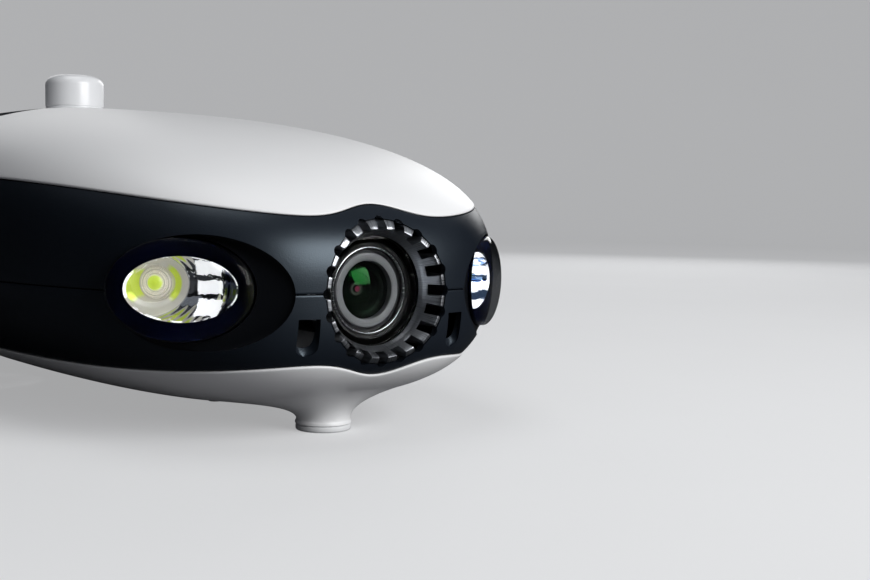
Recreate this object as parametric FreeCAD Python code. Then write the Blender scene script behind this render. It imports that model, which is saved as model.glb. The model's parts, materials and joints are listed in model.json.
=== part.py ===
import FreeCAD, Part
import math
import os

# Underwater inspection vehicle. Millimetres. Nose towards -Y, +X to port, +Z up, feet on z = 0.
V = FreeCAD.Vector

# ---- overall -------------------------------------------------------------------------------
HALF_LENGTH = 191.5        # nose and tail, measured from the middle
MIDSHIP_Y = 63.8           # station of the widest section, aft of the middle
HULL_HALF_WIDTH = 110.4    # centre hull at the seam
CROWN_HEIGHT = 77.7        # seam to the top of the upper shell
KEEL_DEPTH = 53.0          # seam to the belly
BELLY_Z = 3.0              # belly over the ground, when standing on the feet
NOSE_EXPONENT = 2.92       # fullness of the plan outline, forward
TAIL_EXPONENT = 3.2        # fullness of the plan outline, aft
UPPER_FORM = (3.95, 2.157, 2.95, 1.418)   # section exponents above the seam
LOWER_FORM = (1.78, 2.13, 3.99, 3.56)     # section exponents below the seam
NOSE_Y = -HALF_LENGTH
TAIL_Y = HALF_LENGTH
NOSE_REACH = MIDSHIP_Y - NOSE_Y           # widest section to the nose
TAIL_REACH = TAIL_Y - MIDSHIP_Y           # widest section to the tail
PARTING_Z = BELLY_Z + KEEL_DEPTH          # height of the seam between the two belt halves
CROWN_Z = PARTING_Z + CROWN_HEIGHT
SPAN = 2 * HALF_LENGTH + 2 * HULL_HALF_WIDTH     # longer than the hull in any direction

SHELL_WALL = 2.6
BELT_INSET = 0.6           # how far the belt lies under the white shells
BELT_WALL = 2.8
SEAM_GAP = 0.3             # gap where two housings meet
FIT = 0.3                  # clearance between curved faces of neighbouring pieces

# belt edges: height from the seam as a polynomial in (x / 100) squared, plus the arch at the camera
UPPER_EDGE = (25.66, 10.21, 3.35, 5.65)
LOWER_EDGE = (-23.72, -12.62, 2.03, -6.49)
ARCH_WIDTH = 17.0
EDGE_SPAN = HULL_HALF_WIDTH + 14.6

# ---- camera --------------------------------------------------------------------------------
GLASS_Y = NOSE_Y + 10.5    # front face of the port glass
GLASS_R = 20.2
GLASS_THICK = 3.0
SEAL_THICK = 1.1
RING_R = 26.2
RING_DEPTH = 16.0          # how far the ring may stand ahead of the glass
RING_MOUTH_R = 27.2        # funnel, at its own depth ahead of the glass
FUNNEL_DEPTH = 12.0
RING_THROAT_R = 20.6       # funnel at the glass
RING_BACK = 9.0            # ring depth behind the glass face
RING_FLANGE_R = 30.0
NOTCHES = 20
NOTCH_WIDTH = 4.0
NOTCH_PITCH_R = 25.45
NOTCH_INNER_R = 22.4
SCALLOP_R = 2.15
BARREL_R = 18.6
BARREL_WALL = 2.0
BARREL_LENGTH = 40.0
TRIM_R = 15.9
TRIM_WIDTH = 0.9
BAFFLE_OUT_R = 13.8
BAFFLE_IN_R = 10.7
LENS_R = 10.5
LENS_HEIGHT = 3.4

# ---- drain slots beside the camera ---------------------------------------------------------
DRAIN_X = 32.2
DRAIN_WIDTH = 7.5
DRAIN_Y = GLASS_Y - 7.0
DRAIN_DROP = 13.1

# ---- lamps ---------------------------------------------------------------------------------
LAMP_X = HULL_HALF_WIDTH * 0.6223
LAMP_Y = NOSE_Y + 29.6
LAMP_Z = PARTING_Z + 1.0
LAMP_ANGLE = 40.0          # lamp axis, turned outboard from straight ahead
LAMP_A = 26.2              # glass half width
LAMP_B = 18.3              # glass half height
LAMP_DOME = 5.4
WINDOW_A = 19.8
WINDOW_B = 11.7
LAMP_DEPTH = 24.0
BOWL_DEPTH = 15.0
OPTIC_OFFSET = 11.0        # the light source sits outboard in the bowl
OPTIC_RISE = 1.8           # and a little high
OPTIC_R = 6.8
SOCKET_A = 39.5            # mouth of the recess round the lamp
SOCKET_REACH = 22.0
SOCKET_SHIFT = 12.0        # the recess opens towards the nose

# ---- thrusters -----------------------------------------------------------------------------
DUCT_R = 27.5
DUCT_WALL = 2.0
DUCT_X = HULL_HALF_WIDTH - DUCT_R - 14.9
DUCT_PITCH = 2 * DUCT_R + 9.0
DUCT_AFT_Y = TAIL_Y - DUCT_R - 53.0
DUCT_Y = (DUCT_AFT_Y - DUCT_PITCH, DUCT_AFT_Y)
DUCT_CENTRE_Z = PARTING_Z + 6.0
PROP_TIP_GAP = 1.2
HUB_R = 7.4
HUB_LENGTH = 11.0
SHAFT_R = 2.0
SHAFT_FIT = 0.05           # running clearance of a propeller on its shaft
SHAFT_LENGTH = 13.0
MOTOR_R = 9.5
MOTOR_LENGTH = 22.0
MOTOR_GAP = 0.6            # motor face to propeller hub
BLADES = 3
STRUTS = 3
STRUT_THICK = 2.4
POD_OUT_R = 30.5
POD_BORE_R = 25.0
POD_HALF_LENGTH = 40.0
POD_X = HULL_HALF_WIDTH + POD_OUT_R - 5.9        # the pod sinks a little into the hull's side
POD_Y = MIDSHIP_Y - 4.8
POD_PROP_BACK = 6.0        # hub of the side propeller ahead of the pod's middle

# ---- inside --------------------------------------------------------------------------------
TUBE_R = 36.0
TUBE_WALL = 3.0
TUBE_Z = PARTING_Z + 8.0
TUBE_FRONT = NOSE_Y + 72.5
TUBE_BACK = TAIL_Y - 110.5
TUBE_LENGTH = TUBE_BACK - TUBE_FRONT
CAP_THICK = 6.0
CAP_PLUG = 8.0
CAP_FIT = 0.1
CHASSIS_Z = BELLY_Z + 22.0
CHASSIS_THICK = 3.0
CELL_R = 9.4
CELL_GAP = 2.0
CELL_INSET = 24.0          # tube end to the first cell and to the board
CELL_LENGTH = (TUBE_LENGTH - 2 * CELL_INSET - CELL_GAP) / 2 - 6.0
BOARD_LENGTH = TUBE_LENGTH - 2 * CELL_INSET - 2.0

# ---- tether port, feet, fasteners --------------------------------------------------------------
TETHER_Y = TAIL_Y - 88.5
TETHER_BOSS_R = 19.0
TETHER_BOSS_TOP = CROWN_Z - 0.7
TETHER_BOSS_DEEP = 26.0    # the boss carries on under the deck to the socket's flange
TETHER_SOCKET_R = 12.6
TETHER_SOCKET_TOP = TETHER_BOSS_TOP + 12.0
CAP_R = 15.4
CAP_TOP = TETHER_BOSS_TOP + 21.0
FOOT_LIP_R = 11.0
FOOT_NECK_R = 10.2
FOOT_FLARE_R = 21.0
PAD_THICK = 2.4
FOOT_TOP_Z = BELLY_Z + 15.0     # feet are built up to this height, inside the shell
FOOT_AFT_Y = TAIL_Y - 38.5
FEET = ((0.0, NOSE_Y + 44.2), (34.0, FOOT_AFT_Y), (-34.0, FOOT_AFT_Y))
POST_FRONT_Y = NOSE_Y + 79.5
POST_BACK_Y = DUCT_Y[0] - DUCT_R - 13.5
POST_AT = ((28.0, POST_FRONT_Y), (-28.0, POST_FRONT_Y), (38.0, POST_BACK_Y), (-38.0, POST_BACK_Y))
POST_R = 4.5
SCREW_R = 1.5
SCREW_HEAD_R = 2.9
SCREW_SEAT_Z = BELLY_Z + 8.0     # underside of the deck the screw heads bear on
INSERT_AT_X = 20.0
INSERT_AT_Y = (-40.0, 20.0)
INSERT_R = 4.0
INSERT_BORE_R = 2.5
INSERT_LENGTH = 9.0
INSERT_Z = BELLY_Z + 1.0   # mouths of the inserts


def save(name, shape):
    """Write one node as a STEP file, keeping only its solids."""
    solids = shape.Solids
    out = solids[0] if len(solids) == 1 else Part.makeCompound(solids)
    if not out.isValid():
        print("NOT VALID", name)
    out.exportStep("parts/" + name + ".step")
    print("%-22s solids %d  volume %.0f" % (name, len(solids), out.Volume))


def fuse(shapes):
    """One solid from several that meet."""
    out = shapes[0].fuse(shapes[1:]) if len(shapes) > 1 else shapes[0]
    return out.removeSplitter()


def cyl(r, length, base, axis=V(0, 0, 1)):
    return Part.makeCylinder(r, length, base, axis)


def tube(r_out, r_in, length, base, axis=V(0, 0, 1)):
    """Straight tube."""
    core = base - axis * 1.0
    return cyl(r_out, length, base, axis).cut(cyl(r_in, length + 2.0, core, axis))


def revolve_z(points, centre):
    """Solid of revolution about a vertical axis from (radius, height) points."""
    wire = Part.makePolygon([V(r, 0, z) for r, z in points + points[:1]])
    solid = Part.Face(wire).revolve(V(0, 0, 0), V(0, 0, 1), 360)
    solid.translate(centre)
    return solid


def revolve_y(points, centre):
    """Solid of revolution about an axis along Y from (radius, y) points."""
    wire = Part.makePolygon([V(r, y, 0) for r, y in points + points[:1]])
    solid = Part.Face(wire).revolve(V(0, 0, 0), V(0, 1, 0), 360)
    solid.translate(centre)
    return solid


# ---- hull form -----------------------------------------------------------------------------
def plan_curve(inset):
    """Closed outline of the hull at the seam, as a periodic curve about the midship point."""
    half, front, rear = HULL_HALF_WIDTH - inset, NOSE_REACH - inset, TAIL_REACH - inset
    points = []
    count = 64
    for i in range(count):
        turn = math.pi / 2 + 2 * math.pi * i / count
        c, s = math.cos(turn), math.sin(turn)
        reach, power = (front, NOSE_EXPONENT) if s < 0 else (rear, TAIL_EXPONENT)
        r = (abs(c / half) ** power + abs(s / reach) ** power) ** (-1 / power)
        points.append(V(r * c, r * s, 0))
    curve = Part.BSplineCurve()
    curve.interpolate(Points=points, PeriodicFlag=True)
    return curve


def section_curve(inset):
    """Profile from belly to crown: x and y hold the two plan scales, z the height."""
    points, stations = [], []
    count = 13
    for i in range(-count, count + 1):
        rise = 1 - (1 - abs(i) / count) ** 2.2
        height, form = (CROWN_HEIGHT, UPPER_FORM) if i >= 0 else (KEEL_DEPTH, LOWER_FORM)
        height = height - inset
        sx = max(0.0, 1 - rise ** form[0]) ** (1 / form[1])
        sy = max(0.0, 1 - rise ** form[2]) ** (1 / form[3])
        points.append(V(sx, sy, math.copysign(height, i) * rise))
        stations.append(i / count * height)
    curve = Part.BSplineCurve()
    curve.interpolate(Points=points, Parameters=stations)
    return curve


def hull(inset):
    """Closed hull body lying the given distance inside the outer skin."""
    plan, section = plan_curve(inset), section_curve(inset)
    rows = []
    for p in plan.getPoles():
        rows.append([V(q.x * p.x, q.y * p.y + MIDSHIP_Y, q.z + PARTING_Z) for q in section.getPoles()])
    surface = Part.BSplineSurface()
    surface.buildFromPolesMultsKnots(
        rows, plan.getMultiplicities(), section.getMultiplicities(), plan.getKnots(),
        section.getKnots(), True, False, plan.Degree, section.Degree)
    return Part.Solid(Part.Shell([surface.toShape()]))


def edge_height(x, form):
    """Height of a belt edge at distance x from the centreline."""
    s = (min(abs(x), 112.0) / 100.0) ** 2
    arch = math.exp(-(x / ARCH_WIDTH) ** 2)
    return PARTING_Z + form[0] + form[1] * s + form[2] * s * s + form[3] * arch


def region_above(form, offset):
    """Everything above a belt edge, moved up by an offset."""
    count = 60
    xs = [-EDGE_SPAN + 2 * EDGE_SPAN * i / count for i in range(count + 1)]
    curve = Part.BSplineCurve()
    curve.interpolate(Points=[V(x, -SPAN / 2, edge_height(x, form) + offset) for x in xs])
    start, end = curve.StartPoint, curve.EndPoint
    lid = Part.makePolygon([end, V(EDGE_SPAN, -SPAN / 2, SPAN), V(-EDGE_SPAN, -SPAN / 2, SPAN), start])
    face = Part.Face(Part.Wire([curve.toShape()] + lid.Edges))
    return face.extrude(V(0, SPAN, 0))


def slab(z_low, z_high):
    return Part.makeBox(SPAN, SPAN, z_high - z_low, V(-SPAN / 2, -SPAN / 2, z_low))


# ---- cut-outs shared by the housings --------------------------------------------------------
def lamp_place(side):
    """Placement of a lamp: local Z out along its beam, local X outboard, local Y up or down."""
    a = math.radians(LAMP_ANGLE)
    z_axis = V(side * math.sin(a), -math.cos(a), 0)
    x_axis = V(side * math.cos(a), math.sin(a), 0)
    y_axis = z_axis.cross(x_axis)
    m = FreeCAD.Matrix(
        x_axis.x, y_axis.x, z_axis.x, side * LAMP_X,
        x_axis.y, y_axis.y, z_axis.y, LAMP_Y,
        x_axis.z, y_axis.z, z_axis.z, LAMP_Z,
        0, 0, 0, 1)
    return FreeCAD.Placement(m)


def put(shape, place):
    out = shape.copy()
    out.Placement = place.multiply(out.Placement)
    return out


def oval(a, b, z, cx=0.0):
    """Elliptical wire in a plane across the lamp axis."""
    edge = Part.Ellipse(V(cx, 0, z), a, b).toShape()
    return Part.Wire([edge])


def oval_solid(a, b, z_low, z_high, cx=0.0):
    return Part.Face(oval(a, b, z_low, cx)).extrude(V(0, 0, z_high - z_low))


def socket_tool(side):
    """Recess round a lamp: a flared oval mouth and a straight oval hole behind it."""
    wide, high = LAMP_A + 0.7, LAMP_B + 0.7
    flare = Part.makeCone(wide, SOCKET_A, SOCKET_REACH, V(0, 0, -1.0))
    squash = FreeCAD.Matrix()
    squash.A22 = high / wide
    squash.A13 = -SOCKET_SHIFT / SOCKET_REACH
    flare = flare.transformGeometry(squash)
    hole = oval_solid(wide, high, -30.0, -0.5)
    return [put(flare, lamp_place(side)), put(hole, lamp_place(side))]


def scallop_tool():
    """Round hole in the belt for the bezel, with a bite at each notch."""
    ahead = V(0, GLASS_Y - 2 * RING_DEPTH, PARTING_Z)
    deep = 4 * RING_DEPTH
    tools = [cyl(RING_R + FIT, deep, ahead, V(0, 1, 0))]
    for i in range(NOTCHES):
        a = 2 * math.pi * i / NOTCHES
        at = ahead + V(NOTCH_PITCH_R * math.cos(a), 0, NOTCH_PITCH_R * math.sin(a))
        tools.append(cyl(SCALLOP_R, deep, at, V(0, 1, 0)))
    return tools


def drain_tool(side):
    """Sloping drain slot beside the camera."""
    pts = [V(0, -4, 4.5), V(0, -4, -9.5), V(0, 0, -9.5), V(0, 11, 4.5)]
    wedge = Part.Face(Part.makePolygon(pts + pts[:1])).extrude(V(DRAIN_WIDTH, 0, 0))
    wedge.translate(V(side * DRAIN_X - DRAIN_WIDTH / 2, DRAIN_Y, PARTING_Z - DRAIN_DROP))
    return wedge


def duct_tools(radius):
    """Straight bores for the vertical thrusters."""
    tools = []
    for side in (-1, 1):
        for y in DUCT_Y:
            tools.append(cyl(radius, SPAN, V(side * DUCT_X, y, -SPAN / 4)))
    return tools


# ---- housings --------------------------------------------------------------------------------
def build_top_shell(outer, inner):
    skin = outer.common(region_above(UPPER_EDGE, SEAM_GAP)).cut(inner)
    boss = cyl(TETHER_BOSS_R, TETHER_BOSS_DEEP, V(0, TETHER_Y, TETHER_BOSS_TOP - TETHER_BOSS_DEEP))
    mound = scaled_ball(27.0, 44.0, 33.0)
    mound.translate(V(0, TETHER_Y + 14.0, TETHER_BOSS_TOP - 29.0))
    mound = mound.cut(inner)
    body = skin.fuse([boss, mound])
    body = body.cut(duct_tools(DUCT_R + FIT))
    body = body.cut(cyl(CAP_R + 1.0, CROWN_HEIGHT, V(0, TETHER_Y, TETHER_BOSS_TOP)))
    deep = TETHER_BOSS_DEEP + 8.0
    return body.cut(cyl(TETHER_SOCKET_R + 0.1, deep, V(0, TETHER_Y, TETHER_BOSS_TOP - deep)))


def build_belt(outer, inner):
    skin = outer.cut(inner)
    upper = skin.cut(region_above(UPPER_EDGE, 0.0)).common(slab(PARTING_Z + SEAM_GAP / 2, SPAN))
    lower = skin.common(region_above(LOWER_EDGE, 0.0)).common(slab(-10, PARTING_Z - SEAM_GAP / 2))
    tools = scallop_tool() + socket_tool(1) + socket_tool(-1) + duct_tools(DUCT_R + FIT)
    for tool in tools:
        upper = upper.cut(tool)
        lower = lower.cut(tool)
    return upper, lower.cut([drain_tool(1), drain_tool(-1)])


def foot_solid(x, y):
    """Trumpet-shaped foot running into the lower shell."""
    points = [(0.0, PAD_THICK), (FOOT_LIP_R, PAD_THICK), (FOOT_LIP_R, PAD_THICK + 0.8),
              (FOOT_NECK_R, PAD_THICK + 1.6)]
    for i in range(1, 9):
        a = math.radians(90.0 * i / 8)
        rise = (FOOT_FLARE_R - FOOT_NECK_R)
        points.append((FOOT_NECK_R + rise * (1 - math.cos(a)), PAD_THICK + 1.6 + 10.0 * math.sin(a)))
    points += [(FOOT_FLARE_R, FOOT_TOP_Z), (0.0, FOOT_TOP_Z)]
    return revolve_z(points, V(x, y, 0))


def post_solid(x, y):
    return cyl(POST_R, CHASSIS_Z - BELLY_Z, V(x, y, BELLY_Z))


def build_bottom_shell(outer, inner, inner_low):
    skin = outer.cut(region_above(LOWER_EDGE, -SEAM_GAP)).cut(inner)
    feet = [foot_solid(x, y).cut(inner) for x, y in FEET]
    posts = [post_solid(x, y).common(outer) for x, y in POST_AT]
    pads = []
    for side in (-1, 1):
        for y in INSERT_AT_Y:
            pads.append(cyl(INSERT_R + 2.5, INSERT_Z + 10.0, V(side * INSERT_AT_X, y, 0)).common(outer))
    body = skin.fuse(feet + posts + pads)
    body = body.cut(duct_tools(DUCT_R + FIT))
    drills = []
    for x, y in POST_AT:
        drills.append(cyl(SCREW_R + 0.1, CHASSIS_Z + 10.0, V(x, y, 0)))
        drills.append(cyl(SCREW_HEAD_R + 0.2, SCREW_SEAT_Z, V(x, y, 0)))
    for side in (-1, 1):
        for y in INSERT_AT_Y:
            drills.append(cyl(INSERT_R, INSERT_Z + 11.0, V(side * INSERT_AT_X, y, 0)))
    return body.cut(drills)


# ---- camera ----------------------------------------------------------------------------------
def build_lens_ring(skin_solid):
    """Notched bezel: funnel mouth, radial notches, flange behind the belt."""
    axis = V(0, 1, 0)
    at = V(0, GLASS_Y, PARTING_Z)
    body = cyl(RING_R, RING_DEPTH + 8.0, at - axis * RING_DEPTH, axis).common(skin_solid)
    body = body.fuse(cyl(RING_FLANGE_R, 2.6, at + axis * (RING_BACK - 2.6), axis))
    body = body.fuse(cyl(RING_R, 2.0, at + axis * 5.0, axis))
    mouth = Part.makeCone(RING_MOUTH_R, RING_THROAT_R, FUNNEL_DEPTH, at - axis * FUNNEL_DEPTH, axis)
    seat = cyl(GLASS_R + 0.1, RING_BACK + 4.0, at - axis * 0.6, axis)
    body = body.cut([mouth, seat])
    cuts = []
    for i in range(NOTCHES):
        a = 2 * math.pi * i / NOTCHES
        notch = Part.makeBox(8.0, RING_DEPTH + 6.0, NOTCH_WIDTH, V(NOTCH_INNER_R, -RING_DEPTH, -NOTCH_WIDTH / 2))
        notch.rotate(V(0, 0, 0), axis, -math.degrees(a))
        notch.translate(at)
        cuts.append(notch)
    return body.cut(cuts)


def build_camera():
    axis = V(0, 1, 0)
    at = V(0, GLASS_Y, PARTING_Z)
    glass = cyl(GLASS_R, GLASS_THICK, at, axis)
    seal = tube(GLASS_R - 0.1, GLASS_R - 2.4, SEAL_THICK, at + axis * GLASS_THICK, axis)
    back = GLASS_THICK + SEAL_THICK
    barrel = tube(BARREL_R, BARREL_R - BARREL_WALL, BARREL_LENGTH, at + axis * back, axis)
    flange = tube(GLASS_R - 0.1, BARREL_R - 1.0, 3.6, at + axis * back, axis)
    rear = cyl(BARREL_R, 2.0, at + axis * (back + BARREL_LENGTH), axis)
    ledge = tube(BARREL_R - 1.0, TRIM_R - 0.1, 2.0, at + axis * (back + 1.6), axis)
    barrel = fuse([barrel, flange, rear, ledge]).cut(cyl(3.0, 10, at + axis * (back + 36), axis))
    trim = tube(TRIM_R + 0.6, TRIM_R - TRIM_WIDTH, 1.3, at + axis * (back + 0.25), axis)
    baffle_plate = tube(BAFFLE_OUT_R, BAFFLE_IN_R, 1.2, at + axis * 5.0, axis)
    baffle_disc = tube(TRIM_R - 0.3, BAFFLE_IN_R, 1.2, at + axis * 6.2, axis)
    cell = tube(12.6, BAFFLE_IN_R, 16.0, at + axis * 7.4, axis)
    baffle = fuse([baffle_plate, baffle_disc, cell])
    dome_r = (LENS_R ** 2 + LENS_HEIGHT ** 2) / (2 * LENS_HEIGHT)
    ball = Part.makeSphere(dome_r, at + axis * (4.0 + dome_r))
    lens = ball.common(cyl(LENS_R, 12.0, at + axis * 3.5, axis))
    board = Part.makeBox(26, 1.6, 22, at + V(-13, 30.0, -11))
    sensor = Part.makeBox(11, 6.6, 9, at + V(-5.5, 23.5, -4.5))
    board = fuse([board, sensor])
    return {"port_glass": glass, "port_seal": seal, "camera_barrel": barrel, "trim_ring": trim,
            "lens_baffle": baffle, "lens_glass": lens, "camera_board": board}


# ---- lamps -----------------------------------------------------------------------------------
def scaled_ball(a, b, c):
    ball = Part.makeSphere(1.0)
    m = FreeCAD.Matrix()
    m.scale(a, b, c)
    return ball.transformGeometry(m)


def build_lamp(side):
    """One lamp in its own frame, then placed: glass, mask, bowl, source, optic and can."""
    spot_x, spot_y = OPTIC_OFFSET, side * OPTIC_RISE
    half_up = Part.makeBox(80, 80, 40, V(-40, -40, 0))
    half_down = Part.makeBox(80, 80, 40, V(-40, -40, -40))
    dome = scaled_ball(LAMP_A, LAMP_B, LAMP_DOME).common(half_up)
    rim = oval_solid(LAMP_A, LAMP_B, -3.0, 0.0)
    hollow = scaled_ball(LAMP_A - 1.8, LAMP_B - 1.8, LAMP_DOME - 2.2).common(half_up)
    well = oval_solid(LAMP_A - 1.8, LAMP_B - 1.8, -3.0, 0.0)
    glass = fuse([dome, rim]).cut(hollow).cut(well)
    mask = oval_solid(LAMP_A - 0.3, LAMP_B - 0.3, -4.2, -3.05)
    mask = mask.cut(oval_solid(WINDOW_A, WINDOW_B, -6.0, -2.0))
    bowl = scaled_ball(WINDOW_A + 1.3, WINDOW_B + 1.3, BOWL_DEPTH + 1.3).common(half_down)
    cave = scaled_ball(WINDOW_A, WINDOW_B, BOWL_DEPTH)
    bowl = bowl.cut(cave).cut(cyl(OPTIC_R + 0.8, 20, V(spot_x, spot_y, -25)))
    bowl.translate(V(0, 0, -4.25))
    board = cyl(OPTIC_R + 0.5, 3.0, V(spot_x, spot_y, -17.0))
    chip = Part.makeBox(4.6, 4.6, 1.0, V(spot_x - 2.3, spot_y - 2.3, -14.0))
    optic = cyl(OPTIC_R, 3.4, V(spot_x, spot_y, -12.9))
    cap = Part.makeSphere(9.6, V(spot_x, spot_y, -16.0)).common(cyl(OPTIC_R, 8.0, V(spot_x, spot_y, -9.6)))
    optic = fuse([optic, cap])
    can = oval_solid(LAMP_A - 0.3, LAMP_B - 0.3, -LAMP_DEPTH, -4.25)
    can = can.cut(oval_solid(LAMP_A - 1.9, LAMP_B - 1.9, -LAMP_DEPTH + 2.0, 0.0))
    post = cyl(OPTIC_R + 0.5, LAMP_DEPTH - 19.0, V(spot_x, spot_y, -LAMP_DEPTH + 2.0))
    can = fuse([can, post])
    place = lamp_place(side)
    pieces = {"lamp_glass": glass, "lamp_mask": mask, "lamp_reflector": bowl,
              "lamp_source": fuse([board, chip]), "lamp_optic": optic, "lamp_can": can}
    return {name: put(shape, place) for name, shape in pieces.items()}


# ---- thrusters ---------------------------------------------------------------------------------
def blade_section(radius, chord, thick, pitch):
    """Closed lens-shaped blade section, square to the span, at one radius."""
    a = math.radians(pitch)
    upper = [(-0.5, 0.0), (-0.28, 0.42), (0.05, 0.5), (0.32, 0.3), (0.5, 0.0)]
    lower = [(0.3, -0.2), (0.0, -0.3), (-0.28, -0.28)]
    out = []
    for u, w in upper + lower:
        s, n = u * chord, w * thick
        out.append(V(radius, s * math.cos(a) - n * math.sin(a), s * math.sin(a) + n * math.cos(a)))
    curve = Part.BSplineCurve()
    curve.interpolate(Points=out, PeriodicFlag=True)
    return Part.Wire([curve.toShape()])


def build_propeller(tip_r):
    """Propeller about +Z, hub centred on the origin."""
    hub = cyl(HUB_R, HUB_LENGTH, V(0, 0, -HUB_LENGTH / 2))
    nose = Part.makeSphere(HUB_R, V(0, 0, HUB_LENGTH / 2)).common(cyl(HUB_R, 9, V(0, 0, HUB_LENGTH / 2)))
    solids = [hub, nose]
    stations = ((HUB_R - 2.0, 9.5, 2.4, 48.0), (12.0, 14.0, 1.9, 38.0), (18.0, 17.0, 1.6, 30.0),
                (tip_r - 1.5, 15.0, 1.3, 24.0), (tip_r, 9.0, 1.0, 22.0))
    wires = [blade_section(*s) for s in stations]
    blade = Part.makeLoft(wires, True)
    rim = cyl(tip_r, 30, V(0, 0, -15))
    for i in range(BLADES):
        b = blade.copy()
        b.rotate(V(0, 0, 0), V(0, 0, 1), 360.0 * i / BLADES)
        solids.append(b.common(rim))
    return fuse(solids).cut(cyl(SHAFT_R + SHAFT_FIT, 30, V(0, 0, -22.5)))


def build_motor():
    """Motor can and shaft about +Z; the propeller hub is centred on the origin."""
    top = -HUB_LENGTH / 2 - MOTOR_GAP
    can = cyl(MOTOR_R, MOTOR_LENGTH, V(0, 0, top - MOTOR_LENGTH))
    band = tube(MOTOR_R + 0.01, MOTOR_R - 1.0, 1.2, V(0, 0, top - 6.0))
    can = can.cut(band)
    shaft = cyl(SHAFT_R, SHAFT_LENGTH, V(0, 0, top - 1.0))
    return fuse([can, shaft])


def spider(inner_r, z_top):
    """Motor cup held by struts in a duct, about +Z."""
    low = z_top - MOTOR_LENGTH - 2.0
    cup = cyl(MOTOR_R + 2.0, 16.0, V(0, 0, low)).cut(cyl(MOTOR_R + 0.05, 20.0, V(0, 0, low + 2.0)))
    parts = [cup]
    for i in range(STRUTS):
        bar = Part.makeBox(inner_r - MOTOR_R - 0.2, STRUT_THICK, 11.0, V(MOTOR_R + 1.2, -STRUT_THICK / 2, low + 1.0))
        bar.rotate(V(0, 0, 0), V(0, 0, 1), 360.0 * i / STRUTS + 30.0)
        parts.append(bar)
    return parts


def build_vertical_thruster(side, y, hull_solid):
    """Vertical duct trimmed to the hull, with its motor and propeller."""
    at = V(side * DUCT_X, y, DUCT_CENTRE_Z)
    inner = DUCT_R - DUCT_WALL
    wall = tube(DUCT_R, inner, SPAN, V(side * DUCT_X, y, -SPAN / 4)).common(hull_solid)
    top = -HUB_LENGTH / 2 - MOTOR_GAP
    parts = []
    for piece in spider(inner, top):
        piece.translate(at)
        parts.append(piece)
    duct = fuse([wall] + parts)
    motor, prop = build_motor(), build_propeller(inner - PROP_TIP_GAP)
    motor.translate(at)
    prop.translate(at)
    return duct, motor, prop


def build_side_thruster(side, hull_solid):
    """Fore-and-aft pod beside the hull: nozzle, motor and propeller, turned to thrust along Y."""
    r_in, r_out, h = POD_BORE_R, POD_OUT_R, POD_HALF_LENGTH
    profile = [(r_in + 2.6, -h), (r_out - 1.2, -h + 3.0), (r_out, -h + 12.0), (r_out, h - 40.0),
               (r_in + 2.6, h), (r_in + 1.0, h), (r_in, h - 30.0), (r_in, -h + 8.0), (r_in + 1.0, -h + 1.5)]
    nozzle = revolve_y(profile, V(0, 0, 0))
    top = -HUB_LENGTH / 2 - MOTOR_GAP
    parts = spider(r_in + 0.8, top)
    motor, prop = build_motor(), build_propeller(r_in - PROP_TIP_GAP)
    at = V(side * POD_X, POD_Y - POD_PROP_BACK, PARTING_Z)
    out = []
    for piece in parts + [motor, prop]:
        piece.rotate(V(0, 0, 0), V(1, 0, 0), 90)
        piece.translate(at)
        out.append(piece)
    nozzle.translate(V(side * POD_X, POD_Y, PARTING_Z))
    low_x = HULL_HALF_WIDTH - 12.4 if side > 0 else 0.4 - HULL_HALF_WIDTH
    bridge = Part.makeBox(12.0, 56.0, 30.0, V(low_x, POD_Y - 26.0, PARTING_Z - 15.0))
    bore = cyl(POD_BORE_R + 1.5, 100, V(side * POD_X, POD_Y - 50, PARTING_Z), V(0, 1, 0))
    nozzle = fuse([nozzle, bridge.cut(bore)] + out[:-2]).cut(hull_solid)
    return nozzle, out[-2], out[-1]


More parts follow.
